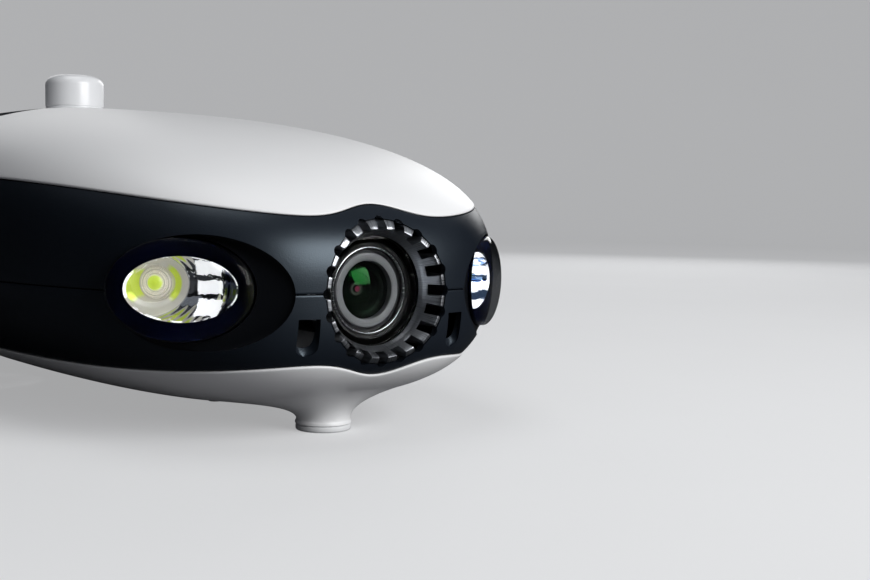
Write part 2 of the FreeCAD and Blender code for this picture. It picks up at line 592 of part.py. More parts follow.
# ---- inside ------------------------------------------------------------------------------------
def build_inside(inner):
    """Floor plate, pressure tube and what the tube holds."""
    axis = V(0, 1, 0)
    centre = V(0, 0, TUBE_Z)
    floor = inner.common(slab(CHASSIS_Z, CHASSIS_Z + CHASSIS_THICK))
    saddles = []
    for y in (TUBE_FRONT + 24.0, TUBE_BACK - 36.0):
        saddles.append(Part.makeBox(52, 12, 18, V(-26, y, CHASSIS_Z + 1.0)))
    keep = cyl(TUBE_R + 0.1, SPAN, centre - axis * SPAN / 2, axis)
    floor = fuse([floor] + saddles).cut(keep)
    cuts = duct_tools(DUCT_R + FIT)
    cuts.append(cyl(RING_FLANGE_R + 4.0, 70, V(0, GLASS_Y - 34.0, PARTING_Z), axis))
    for x, y in POST_AT:
        cuts.append(cyl(SCREW_R + 0.1, 40, V(x, y, 0)))
    for side in (-1, 1):
        cuts.append(put(oval_solid(LAMP_A + 2, LAMP_B + 2, -40, 40), lamp_place(side)))
    floor = floor.cut(cuts)
    body = tube(TUBE_R, TUBE_R - TUBE_WALL, TUBE_BACK - TUBE_FRONT, centre + axis * TUBE_FRONT, axis)
    plug_r = TUBE_R - TUBE_WALL - CAP_FIT
    front = fuse([cyl(TUBE_R, CAP_THICK, centre + axis * (TUBE_FRONT - CAP_THICK), axis),
                  cyl(plug_r, CAP_PLUG, centre + axis * TUBE_FRONT, axis)])
    front = front.cut(cyl(5.0, 40, centre + axis * (TUBE_FRONT - 20.0), axis))
    rear = fuse([cyl(TUBE_R, CAP_THICK, centre + axis * TUBE_BACK, axis),
                 cyl(plug_r, CAP_PLUG, centre + axis * (TUBE_BACK - CAP_PLUG), axis)])
    for x in (-16.0, 0.0, 16.0):
        rear = rear.cut(cyl(4.0, 40, centre + V(x, TUBE_BACK - 20.0, 0), axis))
    cells = []
    front_y = TUBE_FRONT + CELL_INSET
    for x in (-19.5, 0.0, 19.5):
        for y in (front_y, front_y + CELL_LENGTH + CELL_GAP):
            cells.append(cyl(CELL_R, CELL_LENGTH, centre + V(x, y, -9.0), axis))
    board = Part.makeBox(54, BOARD_LENGTH, 1.6, centre + V(-27, front_y, 9.0))
    lumps = [Part.makeBox(14, 14, 3.0, centre + V(-20, front_y + 15.0, 10.6)),
             Part.makeBox(20, 26, 6.0, centre + V(-2, front_y + 45.0, 10.6)),
             Part.makeBox(30, 18, 9.0, centre + V(-15, front_y + BOARD_LENGTH - 45.0, 10.6))]
    rails = [Part.makeBox(4.0, BOARD_LENGTH, 8.0, centre + V(sx * 25.0 - 2.0, front_y, 1.5)) for sx in (-1, 1)]
    return {"chassis": floor, "pressure_tube": body, "tube_cap_front": front, "tube_cap_rear": rear,
            "battery_cells": Part.makeCompound(cells), "main_board": fuse([board] + lumps + rails)}


def build_tether():
    """Socket standing in the deck boss and the screw cap over it."""
    at = V(0, TETHER_Y, 0)
    low = TETHER_BOSS_TOP - TETHER_BOSS_DEEP - 3.0
    body = cyl(TETHER_SOCKET_R, TETHER_SOCKET_TOP - low, at + V(0, 0, low))
    flange = cyl(TETHER_SOCKET_R + 4.0, 3.0, at + V(0, 0, low))
    well = cyl(8.0, 22.0, at + V(0, 0, TETHER_SOCKET_TOP - 14.0))
    socket = fuse([body, flange]).cut(well)
    pins = []
    for i in range(4):
        a = math.pi / 2 * i + math.pi / 4
        pins.append(cyl(0.9, 9.0, at + V(4.2 * math.cos(a), 4.2 * math.sin(a), TETHER_SOCKET_TOP - 15.0)))
    socket = fuse([socket] + pins)
    base = TETHER_BOSS_TOP + 0.3
    r = CAP_R
    profile = [(0, base), (r, base), (r, CAP_TOP - 5.0), (r - 0.8, CAP_TOP - 2.4), (r - 2.4, CAP_TOP - 0.8),
               (r - 5.0, CAP_TOP), (0, CAP_TOP)]
    cap = revolve_z(profile, at)
    cap = cap.cut(cyl(TETHER_SOCKET_R + 0.4, TETHER_SOCKET_TOP + 0.6 - base, at + V(0, 0, base)))
    return socket, cap


def build_feet_pads():
    pads = []
    for x, y in FEET:
        points = [(0.0, 0.0), (FOOT_LIP_R - 1.2, 0.0), (FOOT_LIP_R - 0.3, 0.5), (FOOT_LIP_R, 1.3),
                  (FOOT_LIP_R, PAD_THICK), (0.0, PAD_THICK)]
        pads.append(revolve_z(points, V(x, y, 0)))
    return Part.makeCompound(pads)


def build_screws():
    screws = []
    for x, y in POST_AT:
        head = cyl(SCREW_HEAD_R, 2.4, V(x, y, SCREW_SEAT_Z - 2.4))
        shank = cyl(SCREW_R, CHASSIS_Z + CHASSIS_THICK - SCREW_SEAT_Z + 2.0, V(x, y, SCREW_SEAT_Z))
        drive = cyl(1.3, 1.4, V(x, y, SCREW_SEAT_Z - 2.5))
        screws.append(fuse([head, shank]).cut(drive))
    return Part.makeCompound(screws)


def build_inserts():
    inserts = []
    for side in (-1, 1):
        for y in INSERT_AT_Y:
            at = V(side * INSERT_AT_X, y, INSERT_Z)
            inserts.append(cyl(INSERT_R, INSERT_LENGTH, at).cut(cyl(INSERT_BORE_R, INSERT_LENGTH + 2, at - V(0, 0, 1))))
    return Part.makeCompound(inserts)


def main():
    os.makedirs("parts", exist_ok=True)
    outer = hull(0.0)
    shell_inner = hull(SHELL_WALL)
    belt_outer = hull(BELT_INSET)
    belt_inner = hull(BELT_INSET + BELT_WALL)
    room = hull(BELT_INSET + BELT_WALL + FIT)
    around = hull(-FIT)
    save("top_shell", build_top_shell(outer, shell_inner))
    upper, lower = build_belt(belt_outer, belt_inner)
    save("belt_upper", upper)
    save("belt_lower", lower)
    save("bottom_shell", build_bottom_shell(outer, shell_inner, room))
    save("lens_ring", build_lens_ring(belt_outer))
    for name, shape in build_camera().items():
        save(name, shape)
    for tag, side in (("port", 1), ("starboard", -1)):
        for name, shape in build_lamp(side).items():
            save(name + "_" + tag, shape)
        for place, y in zip(("fore", "aft"), DUCT_Y):
            duct, motor, prop = build_vertical_thruster(side, y, outer)
            save("duct_%s_%s" % (place, tag), duct)
            save("motor_%s_%s" % (place, tag), motor)
            save("propeller_%s_%s" % (place, tag), prop)
        nozzle, motor, prop = build_side_thruster(side, around)
        save("nozzle_side_" + tag, nozzle)
        save("motor_side_" + tag, motor)
        save("propeller_side_" + tag, prop)
    for name, shape in build_inside(room).items():
        save(name, shape)
    socket, cap = build_tether()
    save("tether_socket", socket)
    save("tether_cap", cap)
    save("foot_pads", build_feet_pads())
    save("shell_screws", build_screws())
    save("mount_inserts", build_inserts())


main()
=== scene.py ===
"""Underwater inspection vehicle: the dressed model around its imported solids.

Metres, nose towards -Y, +X to port, +Z up. Hull surfaces are functions of a plan angle and a
height; small parts are profiles carried round an axis.
"""

from __future__ import annotations

import json
import logging
import math
from dataclasses import dataclass, field
from enum import Enum

import bmesh
import bpy
import numpy as np
from mathutils import Matrix, Vector

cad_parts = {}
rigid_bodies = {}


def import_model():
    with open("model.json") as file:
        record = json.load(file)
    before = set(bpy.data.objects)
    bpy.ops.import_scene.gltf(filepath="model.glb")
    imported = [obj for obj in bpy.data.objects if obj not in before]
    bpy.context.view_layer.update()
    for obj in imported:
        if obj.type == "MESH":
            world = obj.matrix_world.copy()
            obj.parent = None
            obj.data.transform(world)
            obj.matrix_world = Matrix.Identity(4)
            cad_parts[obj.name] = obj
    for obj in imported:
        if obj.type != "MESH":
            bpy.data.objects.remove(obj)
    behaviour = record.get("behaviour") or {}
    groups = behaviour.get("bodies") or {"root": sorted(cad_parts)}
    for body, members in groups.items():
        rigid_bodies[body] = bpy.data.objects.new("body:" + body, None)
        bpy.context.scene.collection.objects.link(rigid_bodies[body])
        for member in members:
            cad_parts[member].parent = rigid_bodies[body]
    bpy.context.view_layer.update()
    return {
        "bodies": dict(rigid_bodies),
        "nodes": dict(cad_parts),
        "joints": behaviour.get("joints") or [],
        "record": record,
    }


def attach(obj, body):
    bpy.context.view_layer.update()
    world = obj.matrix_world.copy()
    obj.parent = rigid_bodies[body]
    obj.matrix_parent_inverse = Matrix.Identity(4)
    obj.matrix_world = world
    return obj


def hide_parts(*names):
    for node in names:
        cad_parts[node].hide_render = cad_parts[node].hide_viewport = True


LOG = logging.getLogger("vehicle")
MM = 0.001
SEAM_Z = 56.0 * MM
QUARTER = math.pi / 2
NOSEWARD = np.array([0.0, -1.0, 0.0])
Array = np.ndarray
Triple = tuple[float, float, float]
Profile = list[tuple[float, float]]
Solid = bpy.types.Object
Socket = bpy.types.NodeSocket
Node = bpy.types.Node
Tree = bpy.types.NodeTree
Material = bpy.types.Material


class Side(Enum):
    """The two sides of the vehicle, with the sign of X."""

    PORT = 1
    STARBOARD = -1

    @property
    def tag(self) -> str:
        """Name used in node names."""
        return self.name.lower()


# ------------------------------------------------------------------------------ mesh helpers
def circle(turns: int) -> Array:
    """Even angles round one turn."""
    return np.linspace(0, 2 * math.pi, turns, endpoint=False)


def xyz(x: Array | float, y: Array | float, z: Array | float) -> Array:
    """Points from coordinates that are broadcast against one another."""
    return np.stack(np.broadcast_arrays(x, y, z), -1)


def level_ring(x: float, y: float, r: Array | float, z: Array | float, turns: int) -> Array:
    """Ring round an upright axis: x, y and radii r in millimetres, heights z in metres."""
    a = circle(turns)
    return xyz((x + r * np.cos(a)) * MM, (y + r * np.sin(a)) * MM, z)


def linked(name: str, data: bpy.types.ID) -> Solid:
    """A new object in the scene."""
    obj = bpy.data.objects.new(name, data)
    bpy.context.scene.collection.objects.link(obj)
    return obj


def smooth(obj: Solid, sharp: float) -> None:
    """Smooth shading with crisp edges above an angle in degrees."""
    mesh = obj.data
    mesh.polygons.foreach_set("use_smooth", np.ones(len(mesh.polygons), bool))
    mesh.set_sharp_from_angle(angle=math.radians(sharp))


def mesh_piece(name: str, grid: Array, closed: bool = False, sharp: float = 35.0) -> Solid:
    """Makes an object from rows of points, each row a closed ring.

    Args:
        name: object name.
        grid: (rows, columns, 3) positions in metres.
        closed: join the last row to the first.
        sharp: edges that turn by more than this many degrees stay crisp.

    Returns:
        The new object, with poles closed and faces pointing outwards.
    """
    rows, cols = grid.shape[:2]
    r, c = np.meshgrid(np.arange(rows if closed else rows - 1), np.arange(cols), indexing="ij")
    r2, c2 = (r + 1) % rows, (c + 1) % cols
    quads = np.stack([r * cols + c, r * cols + c2, r2 * cols + c2, r2 * cols + c], -1)
    mesh = bpy.data.meshes.new(name)
    mesh.vertices.add(rows * cols)
    mesh.vertices.foreach_set("co", np.ascontiguousarray(grid, np.float32).ravel())
    mesh.loops.add(quads.size)
    mesh.loops.foreach_set("vertex_index", quads.ravel().astype(np.int32))
    mesh.polygons.add(quads.size // 4)
    mesh.polygons.foreach_set("loop_start", np.arange(0, quads.size, 4, dtype=np.int32))
    mesh.update(calc_edges=True)
    work = bmesh.new()
    work.from_mesh(mesh)
    bmesh.ops.remove_doubles(work, verts=work.verts, dist=2e-7)
    bmesh.ops.dissolve_degenerate(work, edges=work.edges, dist=1e-8)
    bmesh.ops.recalc_face_normals(work, faces=work.faces)
    work.to_mesh(mesh)
    work.free()
    obj = linked(name, mesh)
    smooth(obj, sharp)
    return obj


def joined(name: str, parts: list[Solid]) -> Solid:
    """One object holding the meshes of several, which are removed."""
    work = bmesh.new()
    for part in parts:
        work.from_mesh(part.data)
    mesh = bpy.data.meshes.new(name)
    work.to_mesh(mesh)
    work.free()
    for part in parts:
        bpy.data.objects.remove(part)
    obj = linked(name, mesh)
    smooth(obj, 35.0)
    return obj


def settle(obj: Solid, sharp: float) -> None:
    """Keeps what a piece's modifiers make as its mesh."""
    deps = bpy.context.evaluated_depsgraph_get()
    deps.update()
    result = bpy.data.meshes.new_from_object(obj.evaluated_get(deps))
    obj.modifiers.clear()
    old, obj.data = obj.data, result
    bpy.data.meshes.remove(old)
    smooth(obj, sharp)


def carve(obj: Solid, tools: list[Solid], sharp: float = 35.0) -> None:
    """Cuts closed tool meshes out of a closed piece and removes the tools."""
    for tool in tools:
        cut = obj.modifiers.new("cut", "BOOLEAN")
        cut.operation, cut.solver, cut.object = "DIFFERENCE", "EXACT", tool
    settle(obj, sharp)
    for tool in tools:
        bpy.data.objects.remove(tool)


def bevelled(obj: Solid, width: float, angle: float) -> Solid:
    """Rounds the edges of a piece that are crisper than an angle by a width in metres."""
    mod = obj.modifiers.new("round", "BEVEL")
    mod.width, mod.segments, mod.limit_method = width, 2, "ANGLE"
    mod.angle_limit, mod.harden_normals = math.radians(angle), False
    settle(obj, 50.0)
    return obj


def moved(points: Array, place: Matrix) -> Array:
    """Points carried by a matrix, in metres."""
    flat = points.reshape(-1, 3) @ np.array(place.to_3x3()).T + np.array(place.translation)
    return flat.reshape(points.shape)


def turned(profile: Array, turns: int) -> Array:
    """Profile of (radius, height) carried round the local Z axis: x = r cos a, y = r sin a, z = h."""
    angle, r = circle(turns), profile[:, :1]
    return xyz(r * np.cos(angle), r * np.sin(angle), profile[:, 1:])


def lathe(name: str, profile: Profile, place: Matrix, turns: int = 96, closed: bool = True,
          sharp: float = 30.0, squeeze: float = 1.0) -> Solid:
    """A turned piece, or an oval one when squeezed across.

    Args:
        name: object name.
        profile: (radius, height) pairs in millimetres, in order round the section.
        place: matrix from the local frame, in metres.
        turns: number of points round the axis.
        closed: join the last profile point to the first.
        sharp: crisp edge angle in degrees.
        squeeze: factor on local Y.

    Returns:
        The new object.
    """
    grid = turned(np.array(profile, float) * MM, turns)
    grid[..., 1] *= squeeze
    return mesh_piece(name, moved(grid, place), closed, sharp)


def rod(radius: float, low: float, high: float) -> Profile:
    """Profile of a plain cylinder."""
    return [(0, low), (radius, low), (radius, high), (0, high)]


def rounded(profile: Profile, radius: float) -> Profile:
    """Closed profile with its corners off the axis rounded.

    Args:
        profile: corner points, in order round the section.
        radius: distance from each corner at which its rounding starts.

    Returns:
        The longer profile: each corner c becomes the quadratic curve through a, c, b, where a and b
        lie on its two edges, at most 0.45 of the way along them.
    """
    steps, most = 3, 0.45
    pts = [np.array(p, float) for p in profile]
    out: Profile = []
    for i, corner in enumerate(pts):
        before, after = pts[i - 1], pts[(i + 1) % len(pts)]
        if corner[0] < 1e-6:
            out.append((float(corner[0]), float(corner[1])))
            continue
        la, lb = np.linalg.norm(before - corner), np.linalg.norm(after - corner)
        a = corner + (before - corner) / la * min(radius, la * most)
        b = corner + (after - corner) / lb * min(radius, lb * most)
        for k in range(steps + 1):
            t = k / steps
            p = (1 - t) ** 2 * a + 2 * t * (1 - t) * corner + t * t * b
            out.append((float(p[0]), float(p[1])))
    return out


def axis_place(origin: Triple, z_axis: Triple = (0, 0, 1)) -> Matrix:
    """Matrix that puts the local Z axis along a direction at a point given in millimetres."""
    z = Vector(z_axis).normalized()
    x = Vector((1, 0, 0)) if abs(z.x) < 0.9 else Vector((0, 1, 0))
    x = (x - z * x.dot(z)).normalized()
    rot = Matrix((x, z.cross(x), z)).transposed().to_4x4()
    return Matrix.Translation(Vector(origin) * MM) @ rot


def aimed(at: Triple, aim: Triple) -> Matrix:
    """Matrix of a camera or lamp at a point, looking at another."""
    look = (Vector(aim) - Vector(at)).to_track_quat("-Z", "Y").to_matrix().to_4x4()
    return Matrix.Translation(Vector(at)) @ look


# ------------------------------------------------------------------------------ finishes
class Graph:
    """A node tree, with short calls to add and join nodes."""

    def __init__(self, tree: Tree) -> None:
        """Takes the tree to work on."""
        self.tree = tree

    def join(self, value: object, socket: Socket) -> None:
        """Links a socket to an input, or sets the input: a colour is given without its alpha."""
        if isinstance(value, Socket):
            self.tree.links.new(value, socket)
        elif socket.type == "RGBA":
            socket.default_value = (*value, 1.0)
        else:
            socket.default_value = value

    def fill(self, node: Node, values: dict[str, object]) -> Node:
        """Joins the named inputs of a node; an underscore in a name stands for a space."""
        for key, value in values.items():
            self.join(value, node.inputs[key.replace("_", " ")])
        return node

    def add(self, kind: str, **values: object) -> Node:
        """Adds a shader node with its inputs."""
        return self.fill(self.tree.nodes.new("ShaderNode" + kind), values)

    def group(self, tree: Tree, **values: object) -> Node:
        """Adds a node group with its inputs."""
        node = self.add("Group")
        node.node_tree = tree
        return self.fill(node, values)

    def math(self, operation: str, *terms: object) -> Socket:
        """Result of a Math node on one or two values or sockets."""
        node = self.add("Math")
        node.operation = operation
        for value, socket in zip((*terms, 0.0), node.inputs[:2]):
            self.join(value, socket)
        return node.outputs[0]

    def mix(self, fac: Socket, a: object, b: object) -> Socket:
        """Colour a where the factor is 0, and b where it is 1."""
        node = self.add("Mix")
        node.data_type = "RGBA"
        for value, index in ((fac, 0), (a, 6), (b, 7)):
            self.join(value, node.inputs[index])
        return node.outputs[2]

    def span(self, value: Socket, low: float, high: float, start: float = 0.0, end: float = 1.0) -> Socket:
        """Value carried from the range low to high on to start to end, clamped."""
        return self.add("MapRange", Value=value, From_Min=low, From_Max=high, To_Min=start,
                        To_Max=end).outputs["Result"]


class Sheet(Graph):
    """A material and its node tree."""

    def __init__(self, name: str) -> None:
        """Starts a material that holds one Principled shader."""
        self.material = bpy.data.materials.new(name)
        self.material.use_nodes = True
        super().__init__(self.material.node_tree)
        self.shader = self.tree.nodes["Principled BSDF"]
        self.place = self.add("TexCoord").outputs["Object"]

    def centred(self, at: Triple, turn: Triple) -> Socket:
        """Object coordinates measured from a point in metres, turned by angles in radians."""
        node = self.add("Mapping", Vector=self.place, Location=at, Rotation=turn)
        node.vector_type = "TEXTURE"
        return node.outputs["Vector"]

    def bump(self, height: Socket, strength: float, distance: float) -> Socket:
        """Normal of a height, with its distance in metres."""
        return self.add("Bump", Height=height, Strength=strength, Distance=distance).outputs["Normal"]

    def finish(self, **values: object) -> Material:
        """Joins the shader's inputs and returns the material."""
        self.fill(self.shader, values)
        return self.material


class Group(Graph):
    """A shader node group that works on a vector."""

    def __init__(self, name: str, inputs: dict[str, float | None], outputs: tuple[str, ...]) -> None:
        """Makes an empty group with its sockets.

        Args:
            name: group name.
            inputs: default of each input besides Vector, None for a colour.
            outputs: name of each output; Color is a colour, the others are numbers.
        """
        super().__init__(bpy.data.node_groups.new(name, "ShaderNodeTree"))
        interface = self.tree.interface
        interface.new_socket("Vector", in_out="INPUT", socket_type="NodeSocketVector")
        for label, value in inputs.items():
            kind = "NodeSocketColor" if value is None else "NodeSocketFloat"
            socket = interface.new_socket(label, in_out="INPUT", socket_type=kind)
            if value is not None:
                socket.default_value = value
        for label in outputs:
            kind = "NodeSocketColor" if label == "Color" else "NodeSocketFloat"
            interface.new_socket(label, in_out="OUTPUT", socket_type=kind)
        self.inputs = self.tree.nodes.new("NodeGroupInput").outputs
        self.result = self.tree.nodes.new("NodeGroupOutput")

    def finish(self, **values: Socket) -> Tree:
        """Links the outputs and returns the tree."""
        self.fill(self.result, values)
        return self.tree


class Effects:
    """Shader node groups that several finishes share, each built once."""

    def __init__(self) -> None:
        """Builds every group."""
        self.grain = self.make_grain()
        self.drift = self.make_drift()
        self.brushed = self.make_brushed()
        self.rings = self.make_rings()

    @staticmethod
    def make_grain() -> Tree:
        """Spark-eroded mould texture: fine noise plus wider cells."""
        g = Group("moulded_grain", {"Scale": 2500.0}, ("Height",))
        place, scale = g.inputs["Vector"], g.inputs["Scale"]
        fine = g.add("TexNoise", Vector=place, Scale=scale, Detail=2.0)
        cells = g.add("TexVoronoi", Vector=place, Scale=g.math("MULTIPLY", scale, 0.7))
        return g.finish(Height=g.math("ADD", fine.outputs["Fac"], cells.outputs["Distance"]))

    @staticmethod
    def make_drift() -> Tree:
        """Slow change between two colours, with a mask for roughness."""
        g = Group("colour_drift", {"Scale": 12.0, "Low": None, "High": None}, ("Color", "Mask"))
        noise = g.add("TexNoise", Vector=g.inputs["Vector"], Scale=g.inputs["Scale"], Detail=5.0,
                      Roughness=0.6)
        mask = noise.outputs["Fac"]
        return g.finish(Color=g.mix(mask, g.inputs["Low"], g.inputs["High"]), Mask=mask)

    @staticmethod
    def make_brushed() -> Tree:
        """Lines that run out from the local Z axis: noise on the angle round it."""
        g = Group("radial_brush", {"Lines": 120.0}, ("Height", "Tone"))
        split = g.add("SeparateXYZ", Vector=g.inputs["Vector"])
        angle = g.math("ARCTAN2", split.outputs["Y"], split.outputs["X"])
        radius = g.add("VectorMath")
        radius.operation = "LENGTH"
        g.join(g.inputs["Vector"], radius.inputs[0])
        spread = g.add("CombineXYZ", X=g.math("MULTIPLY", angle, g.inputs["Lines"]),
                       Y=g.math("MULTIPLY", radius.outputs["Value"], 90.0))
        noise = g.add("TexNoise", Vector=spread.outputs[0], Scale=1.0, Detail=4.0)
        noise.noise_dimensions = "2D"
        lines = noise.outputs["Fac"]
        return g.finish(Height=lines, Tone=g.span(lines, 0.3, 0.7))

    @staticmethod
    def make_rings() -> Tree:
        """Distance from the local Z axis over a given radius, and waves along it."""
        g = Group("rings", {"Radius": 0.006, "Waves": 6.0}, ("Fraction", "Wave"))
        split = g.add("SeparateXYZ", Vector=g.inputs["Vector"])
        square = g.math("ADD", *(g.math("MULTIPLY", split.outputs[k], split.outputs[k]) for k in "XY"))
        part = g.math("DIVIDE", g.math("SQRT", square), g.inputs["Radius"])
        phase = g.math("MULTIPLY", part, g.inputs["Waves"])
        return g.finish(Fraction=part, Wave=g.math("SINE", g.math("MULTIPLY", phase, 2 * math.pi)))


@dataclass(frozen=True)
class Moulded:
    """A moulded plastic, rubber, paint or cast metal finish with grain and slow colour change."""

    name: str
    low: Triple
    high: Triple
    roughness: float = 0.4
    spread: float = 0.08
    grain_scale: float = 2500.0
    grain_depth: float = 0.00002
    grain_strength: float = 0.3
    coat: float = 0.0
    metallic: float = 0.0
    sheen: Triple = (1.0, 1.0, 1.0)
    level: float = 0.5

    def make(self, fx: Effects) -> Material:
        """Builds the material: drift to colour and roughness, grain to bump."""
        s = Sheet(self.name)
        drift = s.group(fx.drift, Vector=s.place, Scale=14.0, Low=self.low, High=self.high)
        grain = s.group(fx.grain, Vector=s.place, Scale=self.grain_scale)
        rough = s.span(drift.outputs["Mask"], 0.0, 1.0, self.roughness - self.spread,
                       self.roughness + self.spread)
        return s.finish(
            Base_Color=drift.outputs["Color"], Roughness=rough, Metallic=self.metallic,
            Normal=s.bump(grain.outputs["Height"], self.grain_strength, self.grain_depth),
            Coat_Weight=self.coat, Coat_Roughness=0.12, Specular_Tint=self.sheen,
            Specular_IOR_Level=self.level)


@dataclass(frozen=True)
class Glass:
    """Clear or coated glass with faint wipe marks in its roughness."""

    name: str
    tint: Triple
    ior: float
    sheen: Triple = (1.0, 1.0, 1.0)
    roughest: float = 0.02

    def make(self, fx: Effects) -> Material:
        """Builds the material: plain transmission, roughness varied by a slow mask."""
        s = Sheet(self.name)
        drift = s.group(fx.drift, Vector=s.place, Scale=60.0)
        return s.finish(
            Base_Color=self.tint, Roughness=s.span(drift.outputs["Mask"], 0.0, 1.0, 0.0, self.roughest),
            IOR=self.ior, Transmission_Weight=1.0, Specular_Tint=self.sheen)


@dataclass(frozen=True)
class Brushed:
    """Metal brushed outwards from the camera's axis, such as the bezel's funnel."""

    name: str
    dark: Triple
    bright: Triple
    centre: Triple
    roughness: float

    def make(self, fx: Effects) -> Material:
        """Builds the material: radial lines to colour, roughness and bump."""
        s = Sheet(self.name)
        local = s.centred(self.centre, (QUARTER, 0.0, 0.0))
        brush = s.group(fx.brushed, Vector=local, Lines=110.0)
        tone = brush.outputs["Tone"]
        return s.finish(
            Base_Color=s.mix(tone, self.dark, self.bright), Metallic=1.0,
            Roughness=s.span(tone, 0.0, 1.0, self.roughness - 0.08, self.roughness + 0.08),
            Normal=s.bump(brush.outputs["Height"], 0.35, 0.00006))


@dataclass(frozen=True)
class Ringed:
    """A turned face whose colour changes with distance from its axis."""

    name: str
    centre: Triple
    turn: Triple
    radius: float
    bands: tuple[tuple[float, Triple], ...]
    roughness: float
    waves: float
    glow: float = 0.0
    coat: float = 0.0

    def make(self, fx: Effects) -> Material:
        """Builds the material: a colour ramp on the distance from the axis."""
        s = Sheet(self.name)
        local = s.centred(self.centre, self.turn)
        rings = s.group(fx.rings, Vector=local, Radius=self.radius, Waves=self.waves)
        ramp = s.add("ValToRGB", Fac=rings.outputs["Fraction"])
        stops = ramp.color_ramp.elements
        while len(stops) < len(self.bands):
            stops.new(0.5)
        for stop, (at, colour) in zip(stops, self.bands):
            stop.position, stop.color = at, (*colour, 1.0)
        if self.glow:
            s.finish(Emission_Color=ramp.outputs["Color"], Emission_Strength=self.glow)
        return s.finish(Base_Color=ramp.outputs["Color"], Roughness=self.roughness, Coat_Weight=self.coat,
                        Normal=s.bump(rings.outputs["Wave"], 0.25, 0.0001))


# ------------------------------------------------------------------------------ hull form
@dataclass(frozen=True)
class HullForm:
    """Hull surface as a function of plan angle and height from the seam."""

    half_width: float = 110.4 * MM
    nose_reach: float = 255.3 * MM
    tail_reach: float = 127.7 * MM
    crown: float = 77.7 * MM
    keel: float = 53.0 * MM
    midship_y: float = 63.8 * MM
    nose_power: float = 2.92
    tail_power: float = 3.2
    upper: tuple[float, float, float, float] = (3.95, 2.157, 2.95, 1.418)
    lower: tuple[float, float, float, float] = (1.78, 2.13, 3.99, 3.56)

    def end(self, y: Array, inset: Array | float) -> tuple[Array, Array]:
        """Reach and power of the nose half where y is negative, of the tail half elsewhere."""
        return (np.where(y < 0, self.nose_reach, self.tail_reach) - inset,
                np.where(y < 0, self.nose_power, self.tail_power))

    def scales(self, height: Array, inset: Array | float) -> tuple[Array, Array]:
        """Plan scales across and along at a height: (1 - rise^k)^(1/m), each half with its own k and m."""
        up = height >= 0
        full = np.where(up, self.crown - inset, self.keel - inset)
        rise = np.clip(np.abs(height) / full, 0.0, 1.0)
        f = [np.where(up, a, b) for a, b in zip(self.upper, self.lower)]
        return (1 - rise ** f[0]) ** (1 / f[1]), (1 - rise ** f[2]) ** (1 / f[3])

    def point(self, angle: Array, height: Array | float, inset: Array | float) -> Array:
        """Surface points: the seam's outline is a superellipse about the midship, read by polar angle."""
        angle, height, inset = np.broadcast_arrays(angle, height, inset)
        c, s = np.cos(angle), np.sin(angle)
        reach, power = self.end(s, inset)
        r = ((np.abs(c) / (self.half_width - inset)) ** power + (np.abs(s) / reach) ** power) ** (-1 / power)
        sx, sy = self.scales(height, inset)
        return np.stack([r * c * sx, r * s * sy + self.midship_y, height + SEAM_Z], -1)

    def level(self, p: Array, inset: float) -> Array:
        """Test value at points: below 1 inside the hull, above 1 outside."""
        h, y = p[..., 2] - SEAM_Z, p[..., 1] - self.midship_y
        full = np.where(h >= 0, self.crown, self.keel) - inset
        sx, sy = self.scales(h, inset)
        reach, power = self.end(y, inset)
        value = (np.abs(p[..., 0]) / np.maximum((self.half_width - inset) * sx, 1e-6)) ** power
        value = value + (np.abs(y) / np.maximum(reach * sy, 1e-6)) ** power
        return np.where(np.abs(h) >= full, 1e3, value)

    def meet(self, start: Array, step: Array, reach: float, inset: float = 0.0) -> Array:
        """Where rays leave the hull: bisection along start + t * step for t up to a reach."""
        a, b = np.zeros(start.shape[:-1]), np.full(start.shape[:-1], reach)
        for _ in range(40):
            mid = (a + b) / 2
            inside = self.level(start + mid[..., None] * step, inset) < 1
            a, b = np.where(inside, mid, a), np.where(inside, b, mid)
        return start + ((a + b) / 2)[..., None] * step


@dataclass(frozen=True)
class BeltEdge:
    """Height of a belt edge from the seam: a polynomial in (x/100 mm)^2 and an arch at the camera."""

    form: tuple[float, float, float, float]
    arch: float = 17.0

    def height(self, x: Array) -> Array:
        """Edge height in metres at distances x from the centreline, in metres."""
        mm = np.abs(x) / MM
        s = (np.minimum(mm, 112.0) / 100.0) ** 2
        bump = np.exp(-((mm / self.arch) ** 2))
        return (self.form[0] + self.form[1] * s + self.form[2] * s * s + self.form[3] * bump) * MM

    def on_hull(self, hull: HullForm, angle: Array, inset: float, shift: float) -> Array:
        """Edge height for plan angles: repeats height(x) with x taken from the hull at that height."""
        h = np.full_like(angle, self.form[0] * MM)
        for _ in range(12):
            h = self.height(hull.point(angle, h, inset)[..., 0]) + shift
        return h


UPPER_EDGE = BeltEdge((25.66, 10.21, 3.35, 5.65))
LOWER_EDGE = BeltEdge((-23.72, -12.62, 2.03, -6.49))


